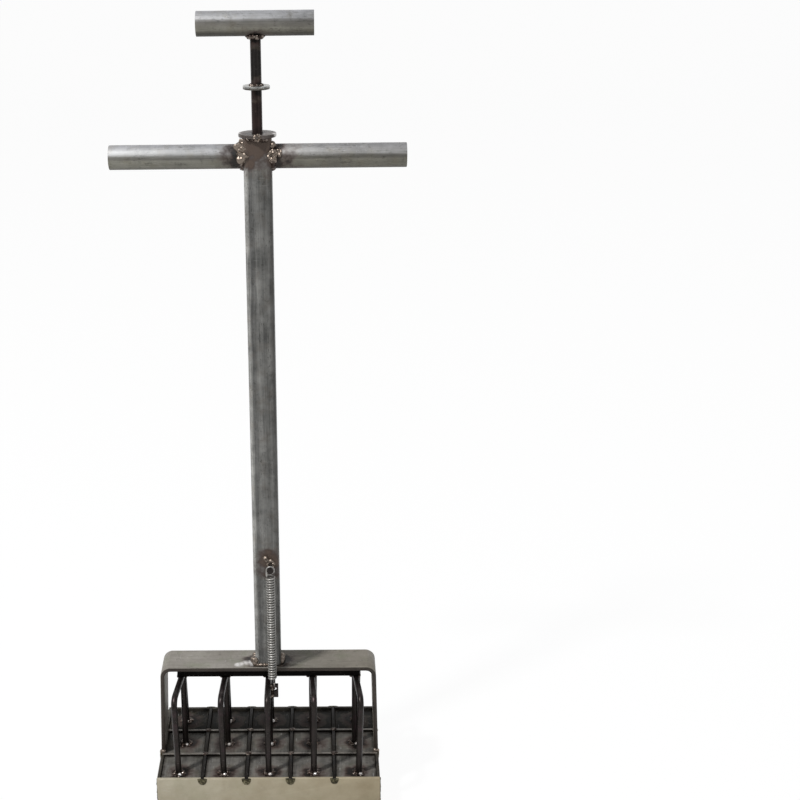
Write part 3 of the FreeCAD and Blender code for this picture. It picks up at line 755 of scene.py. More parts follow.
GRIP_STEEL = SteelFinish(
    "grip_steel", Slot.PIPE, dark=srgb(140, 140, 139), light=srgb(182, 182, 182),
    tint=srgb(146, 142, 132), grain=Grain.ALONG_X, patch_mm=16.0, streak_mm=1.4, metallic=0.35,
    rough=(0.5, 0.66), scratch_share=0.55, grime_share=0.5, speck_share=0.6,
    bands=Bands(GRIP_HEIGHT - PIPE_DIAMETER / 2, GRIP_HEIGHT + PIPE_DIAMETER / 2, GRIP_HIGHLIGHT_AND_SHADE_TINTS),
    heat=(HeatSpot((0.0, 0.0, 748.0), 17.0),))
HANDLE_STEEL = replace(
    GRIP_STEEL, name="handle_steel", heat=(HeatSpot((-14.0, 0.0, 645.0), 26.0),),
    bands=Bands(HANDLE_HEIGHT - PIPE_DIAMETER / 2, HANDLE_HEIGHT + PIPE_DIAMETER / 2, PIPE_HIGHLIGHT_AND_SHADE_TINTS))
DARKER_HANDLE_STEEL = replace(
    HANDLE_STEEL, name="darker_handle_steel", heat=(HeatSpot((14.0, 0.0, 645.0), 26.0),),
    dark=srgb(124, 123, 121), light=srgb(164, 163, 161))
ROD_STEEL = SteelFinish(
    "rod_steel", Slot.BLACK_ROD, dark=srgb(26, 23, 22), light=srgb(56, 51, 48),
    tint=srgb(60, 48, 46), grain=Grain.ALONG_Z, patch_mm=16.0, streak_mm=1.4, metallic=0.7,
    rough=(0.3, 0.5), scratch_share=0.2, scratch_colour=srgb(160, 152, 146),
    bands=Bands(660.0, 750.0, ((0.0, srgb(255, 214, 208)), (0.45, srgb(255, 226, 220)),
                               (0.52, srgb(196, 196, 196)), (1.0, srgb(190, 190, 190)))),
    heat=(HeatSpot((0.0, 0.0, 704.0), 12.0), HeatSpot((0.0, 0.0, 748.0), 12.0)))
LEG_STEEL = SteelFinish(
    "leg_steel", Slot.BLACK_ROD, dark=srgb(20, 17, 16), light=srgb(50, 44, 41),
    tint=srgb(62, 44, 50), grain=Grain.ALONG_Z, patch_mm=14.0, streak_mm=1.6, metallic=0.7,
    rough=(0.28, 0.46), scratch_share=0.25, scratch_colour=srgb(160, 152, 146))
# Near-black crossbar: painted shade for the bar that lies under the hoop.
SHADED_BAR_STEEL = SteelFinish(
    "shaded_crossbar_steel", Slot.BLACK_ROD, dark=srgb(7, 6, 5), light=srgb(17, 14, 12),
    tint=srgb(20, 15, 13), grain=Grain.ALONG_X, patch_mm=18.0, streak_mm=2.0, metallic=0.1,
    rough=(0.6, 0.75), scratch_share=0.06, gloss=0.05)
# Painted shade and highlight: the stop washer's rim darkens towards its underside, bright at its
# top.
ZINC = SteelFinish(
    "zinc_plate", Slot.ZINC, dark=srgb(140, 140, 137), light=srgb(200, 200, 197),
    tint=srgb(150, 140, 120), patch_mm=8.0, streak_mm=1.2, metallic=0.85, rough=(0.2, 0.38),
    scratch_share=0.3, grime_share=0.3, heat=(HeatSpot((0.0, 0.0, 706.0), 8.0),),
    bands=Bands(STOP_BOTTOM, STOP_BOTTOM + STOP_THICKNESS, (
        (0.0, srgb(92, 88, 84)), (0.5, srgb(150, 146, 142)), (0.8, WHITE))))
# The two bare spots at the guide washer's ends are painted highlights.
BURNT_ZINC = SteelFinish(
    "burnt_zinc_plate", Slot.ZINC, dark=srgb(54, 47, 44), light=srgb(104, 96, 92),
    tint=srgb(76, 62, 57), patch_mm=5.0, streak_mm=1.2, metallic=0.6, rough=(0.3, 0.5),
    scratch_share=0.2, grime_share=0.6, heat=(HeatSpot((-2.0, -2.0, 665.5), 15.0),),
    ground=(HeatSpot((17.0, -3.0, 665.0), 5.0), HeatSpot((-17.0, -1.0, 665.0), 3.0)))
SPRING_STEEL = SteelFinish(
    "spring_wire", Slot.SPRING, dark=srgb(118, 116, 112), light=srgb(176, 174, 170),
    tint=srgb(124, 116, 104), patch_mm=6.0, streak_mm=0.8, metallic=0.6, rough=(0.3, 0.45),
    scratch_share=0.1, grime_share=0.35, bump_mm=0.03,
    heat=(HeatSpot((6.5, -24.0, 119.0), 12.0),))
PALE = PaleFinish("pale_paper", None)

# Screen value of the darker patches of each row of plates, lowered towards the back as painted
# shade: the back row is painted as dark as the hoop's shadow.
PLATE_SHADE_LEVELS = {"front": 65, "middle": 56, "back": 8}


def plate_finish(row: str, foot_y: float, pitch: float, level: int) -> SteelFinish:
    """Steel of one row of push plates, burnt round the row's feet.

    Args:
        row: name of the row.
        foot_y: how far back the row's feet stand.
        pitch: spacing of the columns.
        level: screen value of the row's darker patches, lower for farther rows as painted shade.

    Returns:
        The row's finish.
    """
    high = round(level * 1.6) + 14
    return SteelFinish(
        f"plate_steel_{row}", Slot.MILL_STEEL, dark=srgb(level, level - 2, level - 5),
        light=srgb(high, high - 3, high - 8), tint=srgb(level + 2, level + 4, level - 7),
        grain=Grain.ALONG_Y, patch_mm=13.0, streak_mm=2.5, grime_share=0.65, metallic=0.12,
        gloss=0.12, scratch_share=0.25, heat_rows=(pitch, foot_y, 17.0), rim_shade_pitch=pitch)


def frame_at(start: Vector, heading: Vector, side: Vector = X_AXIS) -> Matrix:
    """Matrix whose Z runs along heading and whose X lies towards side.

    Args:
        start: where the matrix puts the origin.
        heading: direction of its Z.
        side: direction that its X is turned towards.

    Returns:
        The matrix.
    """
    along = heading.normalized()
    across = side - along * side.dot(along)
    across = (across if across.length > 1e-4 else along.orthogonal()).normalized()
    turned = Matrix((across, along.cross(across), along)).transposed()
    return Matrix.Translation(start) @ turned.to_4x4()


def only(kind: type, items: Iterable[object]) -> list:
    """The items of one kind among what an operator made."""
    return [item for item in items if isinstance(item, kind)]


def edges_at(verts: Iterable[bmesh.types.BMVert]) -> list[bmesh.types.BMEdge]:
    """The edges at some vertices, each once and in a fixed order."""
    return list(dict.fromkeys(edge for vert in verts for edge in vert.link_edges))


class Section:
    """Section of a bar, wire or sheet, which draws itself across the start of the piece."""

    def draw(self, form: bmesh.types.BMesh, matrix: Matrix) -> list[bmesh.types.BMEdge]:
        """Draw the section.

        Args:
            form: the bmesh that grows.
            matrix: where the section lies.

        Returns:
            Its edges.
        """
        raise NotImplementedError


@dataclass(frozen=True)
class Round(Section):
    """Round section of a rod or a wire, drawn with a number of corners."""

    diameter: float
    corners: int

    def draw(self, form: bmesh.types.BMesh, matrix: Matrix) -> list[bmesh.types.BMEdge]:
        """Draw the section with its face.

        Args:
            form: the bmesh that grows.
            matrix: where the section lies.

        Returns:
            Its edges.
        """
        made = bmesh.ops.create_circle(
            form, cap_ends=True, segments=self.corners, radius=self.diameter / 2,
            matrix=matrix @ Matrix.Rotation(-math.pi / 2, 4, "Z"))
        return edges_at(made["verts"])


@dataclass(frozen=True)
class Flat(Section):
    """Rectangular section of a bar or of one side of a tube."""

    width: float
    depth: float

    def draw(self, form: bmesh.types.BMesh, matrix: Matrix) -> list[bmesh.types.BMEdge]:
        """Draw the section with its face.

        Args:
            form: the bmesh that grows.
            matrix: where the section lies.

        Returns:
            Its edges.
        """
        size = Matrix.Diagonal((self.width, self.depth, 1.0, 1.0))
        made = bmesh.ops.create_grid(form, x_segments=1, y_segments=1, size=0.5,
                                     matrix=matrix @ size)
        return edges_at(made["verts"])


@dataclass(frozen=True)
class Line(Section):
    """Section of a sheet that has no thickness."""

    width: float

    def draw(self, form: bmesh.types.BMesh, matrix: Matrix) -> list[bmesh.types.BMEdge]:
        """Draw the section as a single edge.

        Args:
            form: the bmesh that grows.
            matrix: where the section lies.

        Returns:
            The edge.
        """
        ends = [form.verts.new(matrix @ (X_AXIS * reach))
                for reach in (-self.width / 2, self.width / 2)]
        return [form.edges.new(ends)]


class Bender:
    """Carries a section along straights and bends, the way that bar, tube and wire are bent."""

    def __init__(self, form: bmesh.types.BMesh, section: Section, start: Vector,
                 heading: Vector, side: Vector = X_AXIS) -> None:
        """Set the section across the heading at the start.

        Args:
            form: the bmesh that grows.
            section: the section.
            start: where its middle starts.
            heading: direction in which it sets off.
            side: direction that the section's X is turned towards.
        """
        self.form = form
        self.at = Vector(start)
        self.heading = Vector(heading).normalized()
        self.front = section.draw(form, frame_at(self.at, self.heading, side))

    def straight(self, length: float) -> None:
        """Carry the section straight on.

        Args:
            length: how far.
        """
        made = bmesh.ops.extrude_edge_only(self.form, edges=self.front)["geom"]
        fresh = only(bmesh.types.BMVert, made)
        self.front = [edge for edge in only(bmesh.types.BMEdge, made)
                      if set(edge.verts) <= set(fresh)]
        bmesh.ops.translate(self.form, verts=fresh, vec=self.heading * length)
        self.at += self.heading * length

    def turn(self, axis: Vector, angle: float, radius: float, steps: int,
             climb: float = 0.0) -> None:
        """Carry the section round a bend, or up a helix.

        Args:
            axis: direction of the axis that the bend turns about.
            angle: how far it turns, in radians.
            radius: from the axis to the middle of the section.
            steps: number of sections drawn along the bend.
            climb: rise along the axis over the whole turn.
        """
        axis = axis.normalized()
        level = (self.heading - axis * self.heading.dot(axis)).normalized()
        centre = self.at + axis.cross(level) * radius
        made = bmesh.ops.spin(
            self.form, geom=self.front, cent=centre, axis=axis, dvec=axis * (climb / steps),
            angle=angle, steps=steps, use_merge=False, use_duplicate=False)["geom_last"]
        self.front = only(bmesh.types.BMEdge, made)
        turned = Matrix.Rotation(angle, 3, axis)
        self.at = centre + turned @ (self.at - centre) + axis * climb
        self.heading = turned @ self.heading

    def turn_to(self, heading: Vector, radius: float, steps: int) -> None:
        """Bend towards a new heading.

        Args:
            heading: direction after the bend.
            radius: bend radius.
            steps: sections drawn along it.
        """
        axis = self.heading.cross(heading)
        self.turn(axis, self.heading.angle(heading), radius, steps)
        self.heading = heading.normalized()

    def follow(self, points: Sequence[Vector], radius: float, steps: int) -> None:
        """Run through the points, rounding each corner.

        Args:
            points: corners of the line; the first is where the section starts.
            radius: bend radius at the corners.
            steps: sections drawn along a quarter bend.
        """
        ahead = 0.0
        for before, corner, after in zip(points, points[1:], list(points[2:]) + [None]):
            reach = (corner - before).length
            if after is None:
                self.straight(reach - ahead)
                continue
            heading = (after - corner).normalized()
            angle = self.heading.angle(heading)
            cut = radius * math.tan(angle / 2)
            self.straight(reach - ahead - cut)
            self.turn_to(heading, radius, max(2, round(steps * angle / (math.pi / 2))))
            ahead = cut

    def close(self) -> None:
        """Close the far end with a face."""
        bmesh.ops.edgeloop_fill(self.form, edges=self.front)


def straight_rod(form: bmesh.types.BMesh, section: Section, start: Vector, heading: Vector,
                 length: float) -> None:
    """Add a straight rod to a form.

    Args:
        form: the bmesh that grows.
        section: the rod's section.
        start: middle of its first end.
        heading: direction in which it runs.
        length: its length.
    """
    rod = Bender(form, section, start, heading)
    rod.straight(length)
    rod.close()


def tube_form(outer: float, inner: float, start: Vector, along: Vector,
              segments: int = 72) -> bmesh.types.BMesh:
    """Round tube or washer with softened rims.

    Args:
        outer: diameter of the outside.
        inner: diameter of the bore.
        start: middle of one end.
        along: from there to the middle of the other end.
        segments: faces round the outside.

    Returns:
        The form, in millimetres.
    """
    form = bmesh.new()
    matrix = frame_at(start, along)
    rim_shade: list[bmesh.types.BMEdge] = []
    for size in (outer, inner):
        rim = bmesh.ops.create_circle(form, cap_ends=False, segments=segments, radius=size / 2,
                                      matrix=matrix)
        rim_shade += edges_at(rim["verts"])
    faces = bmesh.ops.bridge_loops(form, edges=rim_shade)["faces"]
    far_end = bmesh.ops.extrude_face_region(form, geom=faces)["geom"]
    bmesh.ops.translate(form, verts=only(bmesh.types.BMVert, far_end), vec=along)
    soften(form, FILED_EDGE)
    return form


def sharp_edges(form: bmesh.types.BMesh, degrees: float = 40.0) -> list[bmesh.types.BMEdge]:
    """Edges where the surface turns by more than so many degrees.

    Args:
        form: the bmesh.
        degrees: the least turn.

    Returns:
        The edges.
    """
    limit = math.radians(degrees)
    return [edge for edge in form.edges
            if len(edge.link_faces) == 2 and edge.calc_face_angle(0.0) > limit]


def soften(form: bmesh.types.BMesh, width: float, segments: int = 2, degrees: float = 40.0) -> None:
    """Round every sharp edge of a form.

    Args:
        form: the bmesh.
        width: how far each edge is rounded.
        segments: faces across the rounding.
        degrees: least turn of a sharp edge.
    """
    bmesh.ops.recalc_face_normals(form, faces=form.faces)
    bmesh.ops.bevel(form, geom=sharp_edges(form, degrees), offset=width, segments=segments,
                    profile=0.5, affect="EDGES", clamp_overlap=True, material=-1)


def settle(name: str, form: bmesh.types.BMesh, finish: Finish, body: Optional[Body],
           stands_for: Iterable[str] = (), crease: float = 38.0) -> bpy.types.Object:
    """Turn a form in millimetres into a finished piece in its place.

    Args:
        name: the piece's name.
        form: its shape, which is used up.
        finish: what it is dressed in.
        body: the body that it rides on, or None if it doesn't ride alone.
        stands_for: the solids that it replaces.
        crease: angle in degrees past which an edge stays sharp.

    Returns:
        The new object.
    """
    bmesh.ops.scale(form, verts=form.verts, vec=(MM, MM, MM))
    bmesh.ops.recalc_face_normals(form, faces=form.faces)
    for face in form.faces:
        face.smooth = True
    open_edges = sum(1 for edge in form.edges if len(edge.link_faces) != 2)
    mesh = bpy.data.meshes.new(name)
    form.to_mesh(mesh)
    form.free()
    mesh.set_sharp_from_angle(angle=math.radians(crease))
    mesh.materials.append(finish.material())
    piece = bpy.data.objects.new(name, mesh)
    bpy.context.scene.collection.objects.link(piece)
    if body is not None:
        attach(piece, body.value)
    if stands_for:
        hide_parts(*stands_for)
    log.info("%s: %d faces, %d open edges", name, len(mesh.polygons), open_edges)
    return piece


def redress(piece: bpy.types.Object, finish: Finish, *facings: Vector) -> None:
    """Give another finish to the faces that look in one of the directions.

    Args:
        piece: the piece that gets a second material.
        finish: the finish of those faces.
        facings: directions, as unit vectors.
    """
    piece.data.materials.append(finish.material())
    for face in piece.data.polygons:
        if any(face.normal.dot(facing) > 0.8 for facing in facings):
            face.material_index = 1


def softened_solid(node: str, finish: Finish, body: Body,
                   width: float = FILED_EDGE) -> bpy.types.Object:
    """Copy of a plain solid with its edges broken by hand filing.

    Args:
        node: name of the solid.
        finish: what the copy is dressed in.
        body: the body that it rides on.
        width: how far each edge is rounded.

    Returns:
        The new object.
    """
    form = bmesh.new()
    form.from_mesh(bpy.data.objects[node].data)
    bmesh.ops.scale(form, verts=form.verts, vec=(1 / MM, 1 / MM, 1 / MM))
    bmesh.ops.remove_doubles(form, verts=form.verts, dist=0.002)
    bmesh.ops.dissolve_limit(form, angle_limit=math.radians(1.0), verts=form.verts,
                             edges=form.edges)
    soften(form, width)
    return settle(f"{node}_filed", form, finish, body, (node,))


@dataclass(frozen=True)
class Nugget:
    """One big lump of weld: its middle, from where the bead starts, and its swell."""

    at: Point
    swell: Point


POST_FOOT_NUGGETS = (
    Nugget((-12.8, -11.4, 1.4), (1.25, 1.2, 1.5)), Nugget((-11.6, -12.8, 5.0), (0.95, 0.7, 1.2)),
    Nugget((-14.0, -5.0, 1.4), (1.3, 1.1, 1.1)))
HANDLE_NUGGETS = (
    Nugget((-13.6, -10.2, 1.4), (2.1, 1.6, 2.2)), Nugget((-14.8, -9.0, 9.6), (1.9, 1.4, 1.9)),
    Nugget((-12.8, -8.6, 14.8), (1.2, 1.0, 1.2)), Nugget((13.8, -10.2, 2.4), (2.0, 1.5, 2.3)),
    Nugget((19.6, -8.8, 3.6), (0.95, 1.2, 1.9)), Nugget((13.0, -8.8, 11.4), (1.2, 1.1, 1.2)))


@dataclass
class Weld:
    """Hand-laid weld metal: overlapping lumps of uneven size."""

    size: float = 2.4
    seed: int = 1
    unevenness: float = 0.22
    lumpiness: float = 0.22
    fineness: int = 2
    form: bmesh.types.BMesh = field(default_factory=bmesh.new)

    def __post_init__(self) -> None:
        """Start the row of random sizes."""
        self.luck = random.Random(self.seed)

    def lump(self, at: Vector, scale: Vector = EVEN, fineness: Optional[int] = None) -> None:
        """Lay one lump.

        Args:
            at: its middle.
            scale: its stretch along each axis, as shares of the bead's size.
            fineness: number of times that its surface is divided, if not the bead's own.
        """
        share = 1 + self.luck.uniform(-self.unevenness, self.unevenness)
        made = bmesh.ops.create_icosphere(self.form, subdivisions=fineness or self.fineness,
                                          radius=1.0)["verts"]
        offset = Vector(self.luck.uniform(-50, 50) for _ in range(3))
        for vert in made:
            vert.co *= 1 + self.lumpiness * noise.noise(vert.co * 1.6 + offset)
        stretch = Matrix.Diagonal((*(scale * self.size * share), 1.0))
        bmesh.ops.transform(self.form, matrix=Matrix.Translation(at) @ stretch, verts=made)

    def ring(self, centre: Vector, axis: Vector, radius: float, lumps: int, scale: Vector = EVEN,
             start: float = 0.0, sweep: float = 2 * math.pi) -> None:
        """Lay lumps round a circle or an arc.

        Args:
            centre: middle of the circle.
            axis: direction that it is seen along.
            radius: its radius.
            lumps: how many lumps go round.
            scale: stretch of each lump.
            start: angle of the first lump.
            sweep: angle from the first lump to the last.
        """
        matrix = frame_at(centre, axis)
        for step in range(lumps):
            angle = start + sweep * (step + self.luck.uniform(-0.2, 0.2)) / lumps
            spot = Vector((math.cos(angle), math.sin(angle), 0)) * radius
            self.lump(matrix @ spot, scale)

    def row(self, start: Vector, end: Vector, lumps: int, scale: Vector = EVEN) -> None:
        """Lay lumps along a line.

        Args:
            start: where the line starts.
            end: where it ends.
            lumps: how many lumps.
            scale: stretch of each lump.
        """
        for step in range(lumps):
            share = (step + 0.5 + self.luck.uniform(-0.15, 0.15)) / lumps
            self.lump(start.lerp(end, share), scale)

    def nuggets(self, origin: Vector, places: Iterable[Nugget]) -> None:
        """Lay big, finely divided lumps.

        Args:
            origin: the place that their middles are measured from.
            places: the nuggets.
        """
        for nugget in places:
            self.lump(origin + Vector(nugget.at), Vector(nugget.swell), 4)

    def trim(self, at: Vector, normal: Vector) -> None:
        """Cut away what lies beyond a plane and close the cut.

        Args:
            at: a point of the plane.
            normal: direction of the side that goes.
        """
        everything = [*self.form.verts, *self.form.edges, *self.form.faces]
        bmesh.ops.bisect_plane(self.form, geom=everything, plane_co=at, plane_no=normal,
                               clear_outer=True, dist=0.0001)
        rim = [edge for edge in self.form.edges if edge.is_boundary]
        bmesh.ops.holes_fill(self.form, edges=rim, sides=0)


@dataclass
class Mould:
    """The open grid of fifteen cells, with the beads that hold its plates together."""

    width: float = 218.0
    depth: float = 132.0
    height: float = 44.0
    wall: float = 3.0
    pitch: float = 43.0

    def build(self) -> None:
        """Make the walls, the dividers and their welds."""
        # Faces other than the listed outer ones keep the painted shade of the inner wall steel.
        for node, facings in (("front_wall", (-Y_AXIS, Z_AXIS)), ("back_wall", (Y_AXIS,)),
                              ("left_wall", (-X_AXIS,)), ("right_wall", (X_AXIS,))):
            redress(softened_solid(node, SHADED_WALL_STEEL, Body.MOULD), WALL_STEEL, *facings)
        for number in (1, 2, 3, 4):
            softened_solid(f"column_divider_{number}", SHADED_DIVIDER_STEEL, Body.MOULD, 0.25)
        for number in (1, 2):
            redress(softened_solid(f"row_divider_{number}", SHADED_DIVIDER_STEEL, Body.MOULD, 0.25),
                    STRIP_STEEL, Z_AXIS)
        self.ear_welds()
        self.corner_welds()
        self.crossing_tacks()

    def columns(self) -> list[float]:
        """Places of the column dividers."""
        return [self.pitch * step for step in (-1.5, -0.5, 0.5, 1.5)]

    def rows(self) -> list[float]:
        """Places of the row dividers."""
        return [self.pitch * step for step in (-0.5, 0.5)]

    def ear_welds(self) -> None:
        """Half-round lumps over the dividers' ears, level with the top of the walls."""
        weld = Weld(size=1.0, seed=11, unevenness=0.08, lumpiness=0.05)
        for side in (-1, 1):
            for x in self.columns():
                weld.lump(Vector((x, side * self.depth / 2, self.height - 0.4)),
                          Vector((4.7, 0.95, 6.4)), 4)
            for y in self.rows():
                weld.lump(Vector((side * self.width / 2, y, self.height - 0.4)),
                          Vector((0.95, 4.7, 6.4)), 4)
        weld.trim(Vector((0, 0, self.height)), Z_AXIS)
        settle("ear_weld_lumps", weld.form, GREEN_WELD, Body.MOULD, ("ear_welds",))

    def corner_welds(self) -> None:
        """Upright beads down the four corners."""
        weld = Weld(size=1.35, seed=12)
        for side_x in (-1, 1):
            for side_y in (-1, 1):
                corner = Vector((side_x * (self.width / 2 - 0.2),
                                 side_y * (self.depth / 2 - self.wall), 0))
                weld.row(corner + Z_AXIS * 1.5, corner + Z_AXIS * (self.height - 1.5), 26,
                         Vector((0.8, 1.0, 1.25)))
        settle("corner_weld_beads", weld.form, GREEN_WELD, Body.MOULD, ("corner_welds",))

    def crossing_tacks(self) -> None:
        """Low burnt tacks where the dividers cross."""
        weld = Weld(size=1.0, seed=13)
        for x in self.columns():
            for y in self.rows():
                for turn in (0.4, 2.5, 4.6):
                    reach = Vector((math.cos(turn), math.sin(turn), 0)) * 1.3
                    weld.lump(Vector((x, y, self.height)) + reach, Vector((2.2, 2.0, 0.85)))
        settle("crossing_tack_lumps", weld.form, DULL_WELD, Body.MOULD, ("crossing_tacks",))


@dataclass
class Hoop:
    """The flat bar bent over the mould that carries the post."""

    foot_x: float = 107.0
    splay: float = 2.5
    foot_height: float = 44.0
    top: float = HOOP_TOP
    thickness: float = 4.0
    width: float = 36.0
    bend_radius: float = 8.0
    hole: float = 10.3

    def build(self) -> None:
        """Bend the bar and weld its feet."""
        form = bmesh.new()
        middle = self.top - self.thickness / 2
        top_x = self.foot_x - self.splay
        points = [Vector((-self.foot_x, 0, self.foot_height)), Vector((-top_x, 0, middle)),
                  Vector((top_x, 0, middle)), Vector((self.foot_x, 0, self.foot_height))]
        bar = Bender(form, Flat(self.thickness, self.width), points[0], points[1] - points[0])
        bar.follow(points, self.bend_radius, 10)
        bar.close()
        self.pierce(form)
        soften(form, 0.5)
        bar = settle("hoop_bar", form, HOOP_STEEL, Body.MOULD, ("hoop",))
        redress(bar, EDGE_STEEL, Y_AXIS, -Y_AXIS)
        self.foot_beads()

    def pierce(self, form: bmesh.types.BMesh) -> None:
        """Open the hole that the push rod runs through.

        Args:
            form: the bent bar.
        """
        rings: list[bmesh.types.BMEdge] = []
        for height, facing in ((self.top, 1), (self.top - self.thickness, -1)):
            broad = max((face for face in form.faces if face.normal.z * facing > 0.9),
                        key=lambda face: face.calc_area())
            rim = list(broad.edges)
            bmesh.ops.delete(form, geom=[broad], context="FACES_ONLY")
            circle = bmesh.ops.create_circle(form, cap_ends=False, segments=48,
                                             radius=self.hole / 2,
                                             matrix=Matrix.Translation((0, 0, height)))
            ring = edges_at(circle["verts"])
            bmesh.ops.bridge_loops(form, edges=[*rim, *ring])
            rings += ring
        bmesh.ops.bridge_loops(form, edges=rings)

    def foot_beads(self) -> None:
        """Beads where the bar stands on the side walls."""
        weld = Weld(size=1.8, seed=21)
        for side_x in (-1, 1):
            for side_y in (-1, 1):
                foot = Vector((side_x * (self.foot_x + 0.3), side_y * (self.width / 2 + 0.4),
                               self.foot_height + 0.8))
                weld.row(foot - X_AXIS * 2, foot + X_AXIS * 2, 3, Vector((1.0, 1.2, 1.1)))
        settle("hoop_foot_beads", weld.form, WELD, Body.MOULD, ("hoop_foot_welds",))


@dataclass
class Post:
    """The square tube, its foot welds and the guide washer on top of it."""

    size: float = POST_WIDTH
    wall: float = 2.0
    corner: float = 3.0
    foot: float = HOOP_TOP
    length: float = POST_LENGTH
    washer_diameter: float = 34.0
    washer_hole: float = 10.3
    washer_thickness: float = 2.95

    def build(self) -> None:
        """Make the tube, its beads and the washer."""
        form = bmesh.new()
        bottom: list[bmesh.types.BMEdge] = []
        top: list[bmesh.types.BMEdge] = []
        for size in (self.size, self.size - 2 * self.wall):
            side = Bender(form, Flat(size, size), Vector((0, 0, self.foot)), Z_AXIS)
            bottom += side.front
            side.straight(self.length)
            top += side.front
        caps = [face for face in form.faces if len(face.edges) == 4 and abs(face.normal.z) > 0.9]
        bmesh.ops.delete(form, geom=caps, context="FACES_ONLY")
        for rim_shade in (bottom, top):
            bmesh.ops.bridge_loops(form, edges=rim_shade)
        bmesh.ops.recalc_face_normals(form, faces=form.faces)
        upright = [edge for edge in form.edges
                   if abs((edge.verts[0].co - edge.verts[1].co).normalized().z) > 0.99]
        outside = [edge for edge in upright if edge.verts[0].co.xy.length > self.size * 0.65]
        inside = [edge for edge in upright if edge not in outside]
        for edges, radius in ((outside, self.corner), (inside, self.corner - self.wall)):
            bmesh.ops.bevel(form, geom=edges, offset=radius, segments=6, profile=0.5,
                            affect="EDGES", material=-1)
        settle("post_tube", form, POST_STEEL, Body.MOULD, ("post",), 50.0)
        self.foot_beads()
        self.guide_washer()

    def foot_beads(self) -> None:
        """Beads down both sides of the post's foot, with a bright run on the left."""
        weld = Weld(size=2.6, seed=31, fineness=3)
        low = self.foot + 0.7
        for side in (-1, 1):
            x = side * (self.size / 2 + 0.6)
            weld.row(Vector((x, -8.5, low)), Vector((x, 8.5, low)), 8, Vector((1.1, 0.9, 0.85)))
        weld.row(Vector((-11.0, -13.0, low)), Vector((1.5, -13.0, low)), 6,
                 Vector((0.7, 0.6, 0.6)))
        weld.nuggets(Z_AXIS * low, POST_FOOT_NUGGETS)
        settle("post_foot_beads", weld.form, WELD, Body.MOULD, ("post_foot_welds",))

    def guide_washer(self) -> None:
        """Washer on top of the tube that guides the push rod."""
        form = tube_form(self.washer_diameter, self.washer_hole,
                         Vector((0, 0, self.foot + self.length)),
                         Z_AXIS * self.washer_thickness, 64)
        settle("guide_washer_plate", form, BURNT_ZINC, Body.MOULD, ("guide_washer",))


@dataclass
class CrossHandles:
    """The two pipes welded to the post, with their beads."""

    diameter: float = PIPE_DIAMETER
    wall: float = PIPE_WALL
    height: float = HANDLE_HEIGHT
    root: float = 12.6
    reach: float = 133.0

    def build(self) -> None:
        """Make both pipes and the beads round their roots."""
        weld = Weld(size=2.6, seed=41, fineness=3)
        for name, side, finish in (("left", -1, HANDLE_STEEL), ("right", 1, DARKER_HANDLE_STEEL)):
            root = Vector((side * self.root, 0, self.height))
            end = Vector((side * self.reach, 0, self.height))
            form = tube_form(self.diameter, self.diameter - 2 * self.wall, root, end - root)
            settle(f"{name}_handle_pipe", form, finish, Body.MOULD, (f"{name}_handle",))
            foot = Vector((side * (self.root + 0.9), 0, self.height))
            weld.ring(foot, X_AXIS, self.diameter / 2 - 0.4, 26, Vector((0.9, 0.85, 0.85)))
        middle = Vector((0, 0, self.height))
        spatter = Weld(size=2.6, seed=42, unevenness=0.1, lumpiness=0.55)
        spatter.nuggets(middle, HANDLE_NUGGETS)
        spatter.ring(middle + Vector((13.4, -14.0, 3.0)), Y_AXIS, 3.3, 9, Vector((0.62, 0.5, 0.62)),
                     0.6, 5.6)
        spatter.ring(middle + Vector((0.6, -15.6, 19.0)), Y_AXIS, 2.4, 8,
                     Vector((0.6, 0.8, 0.6)))
        settle("handle_weld_nuggets", spatter.form, WELD, Body.MOULD)
        top = self.height + 16.8
        weld.row(Vector((-9, -12.6, top)), Vector((9, -12.6, top)), 6, Vector((0.9, 0.8, 0.8)))
        settle("handle_weld_beads", weld.form, DULL_WELD, Body.MOULD, ("handle_welds",))


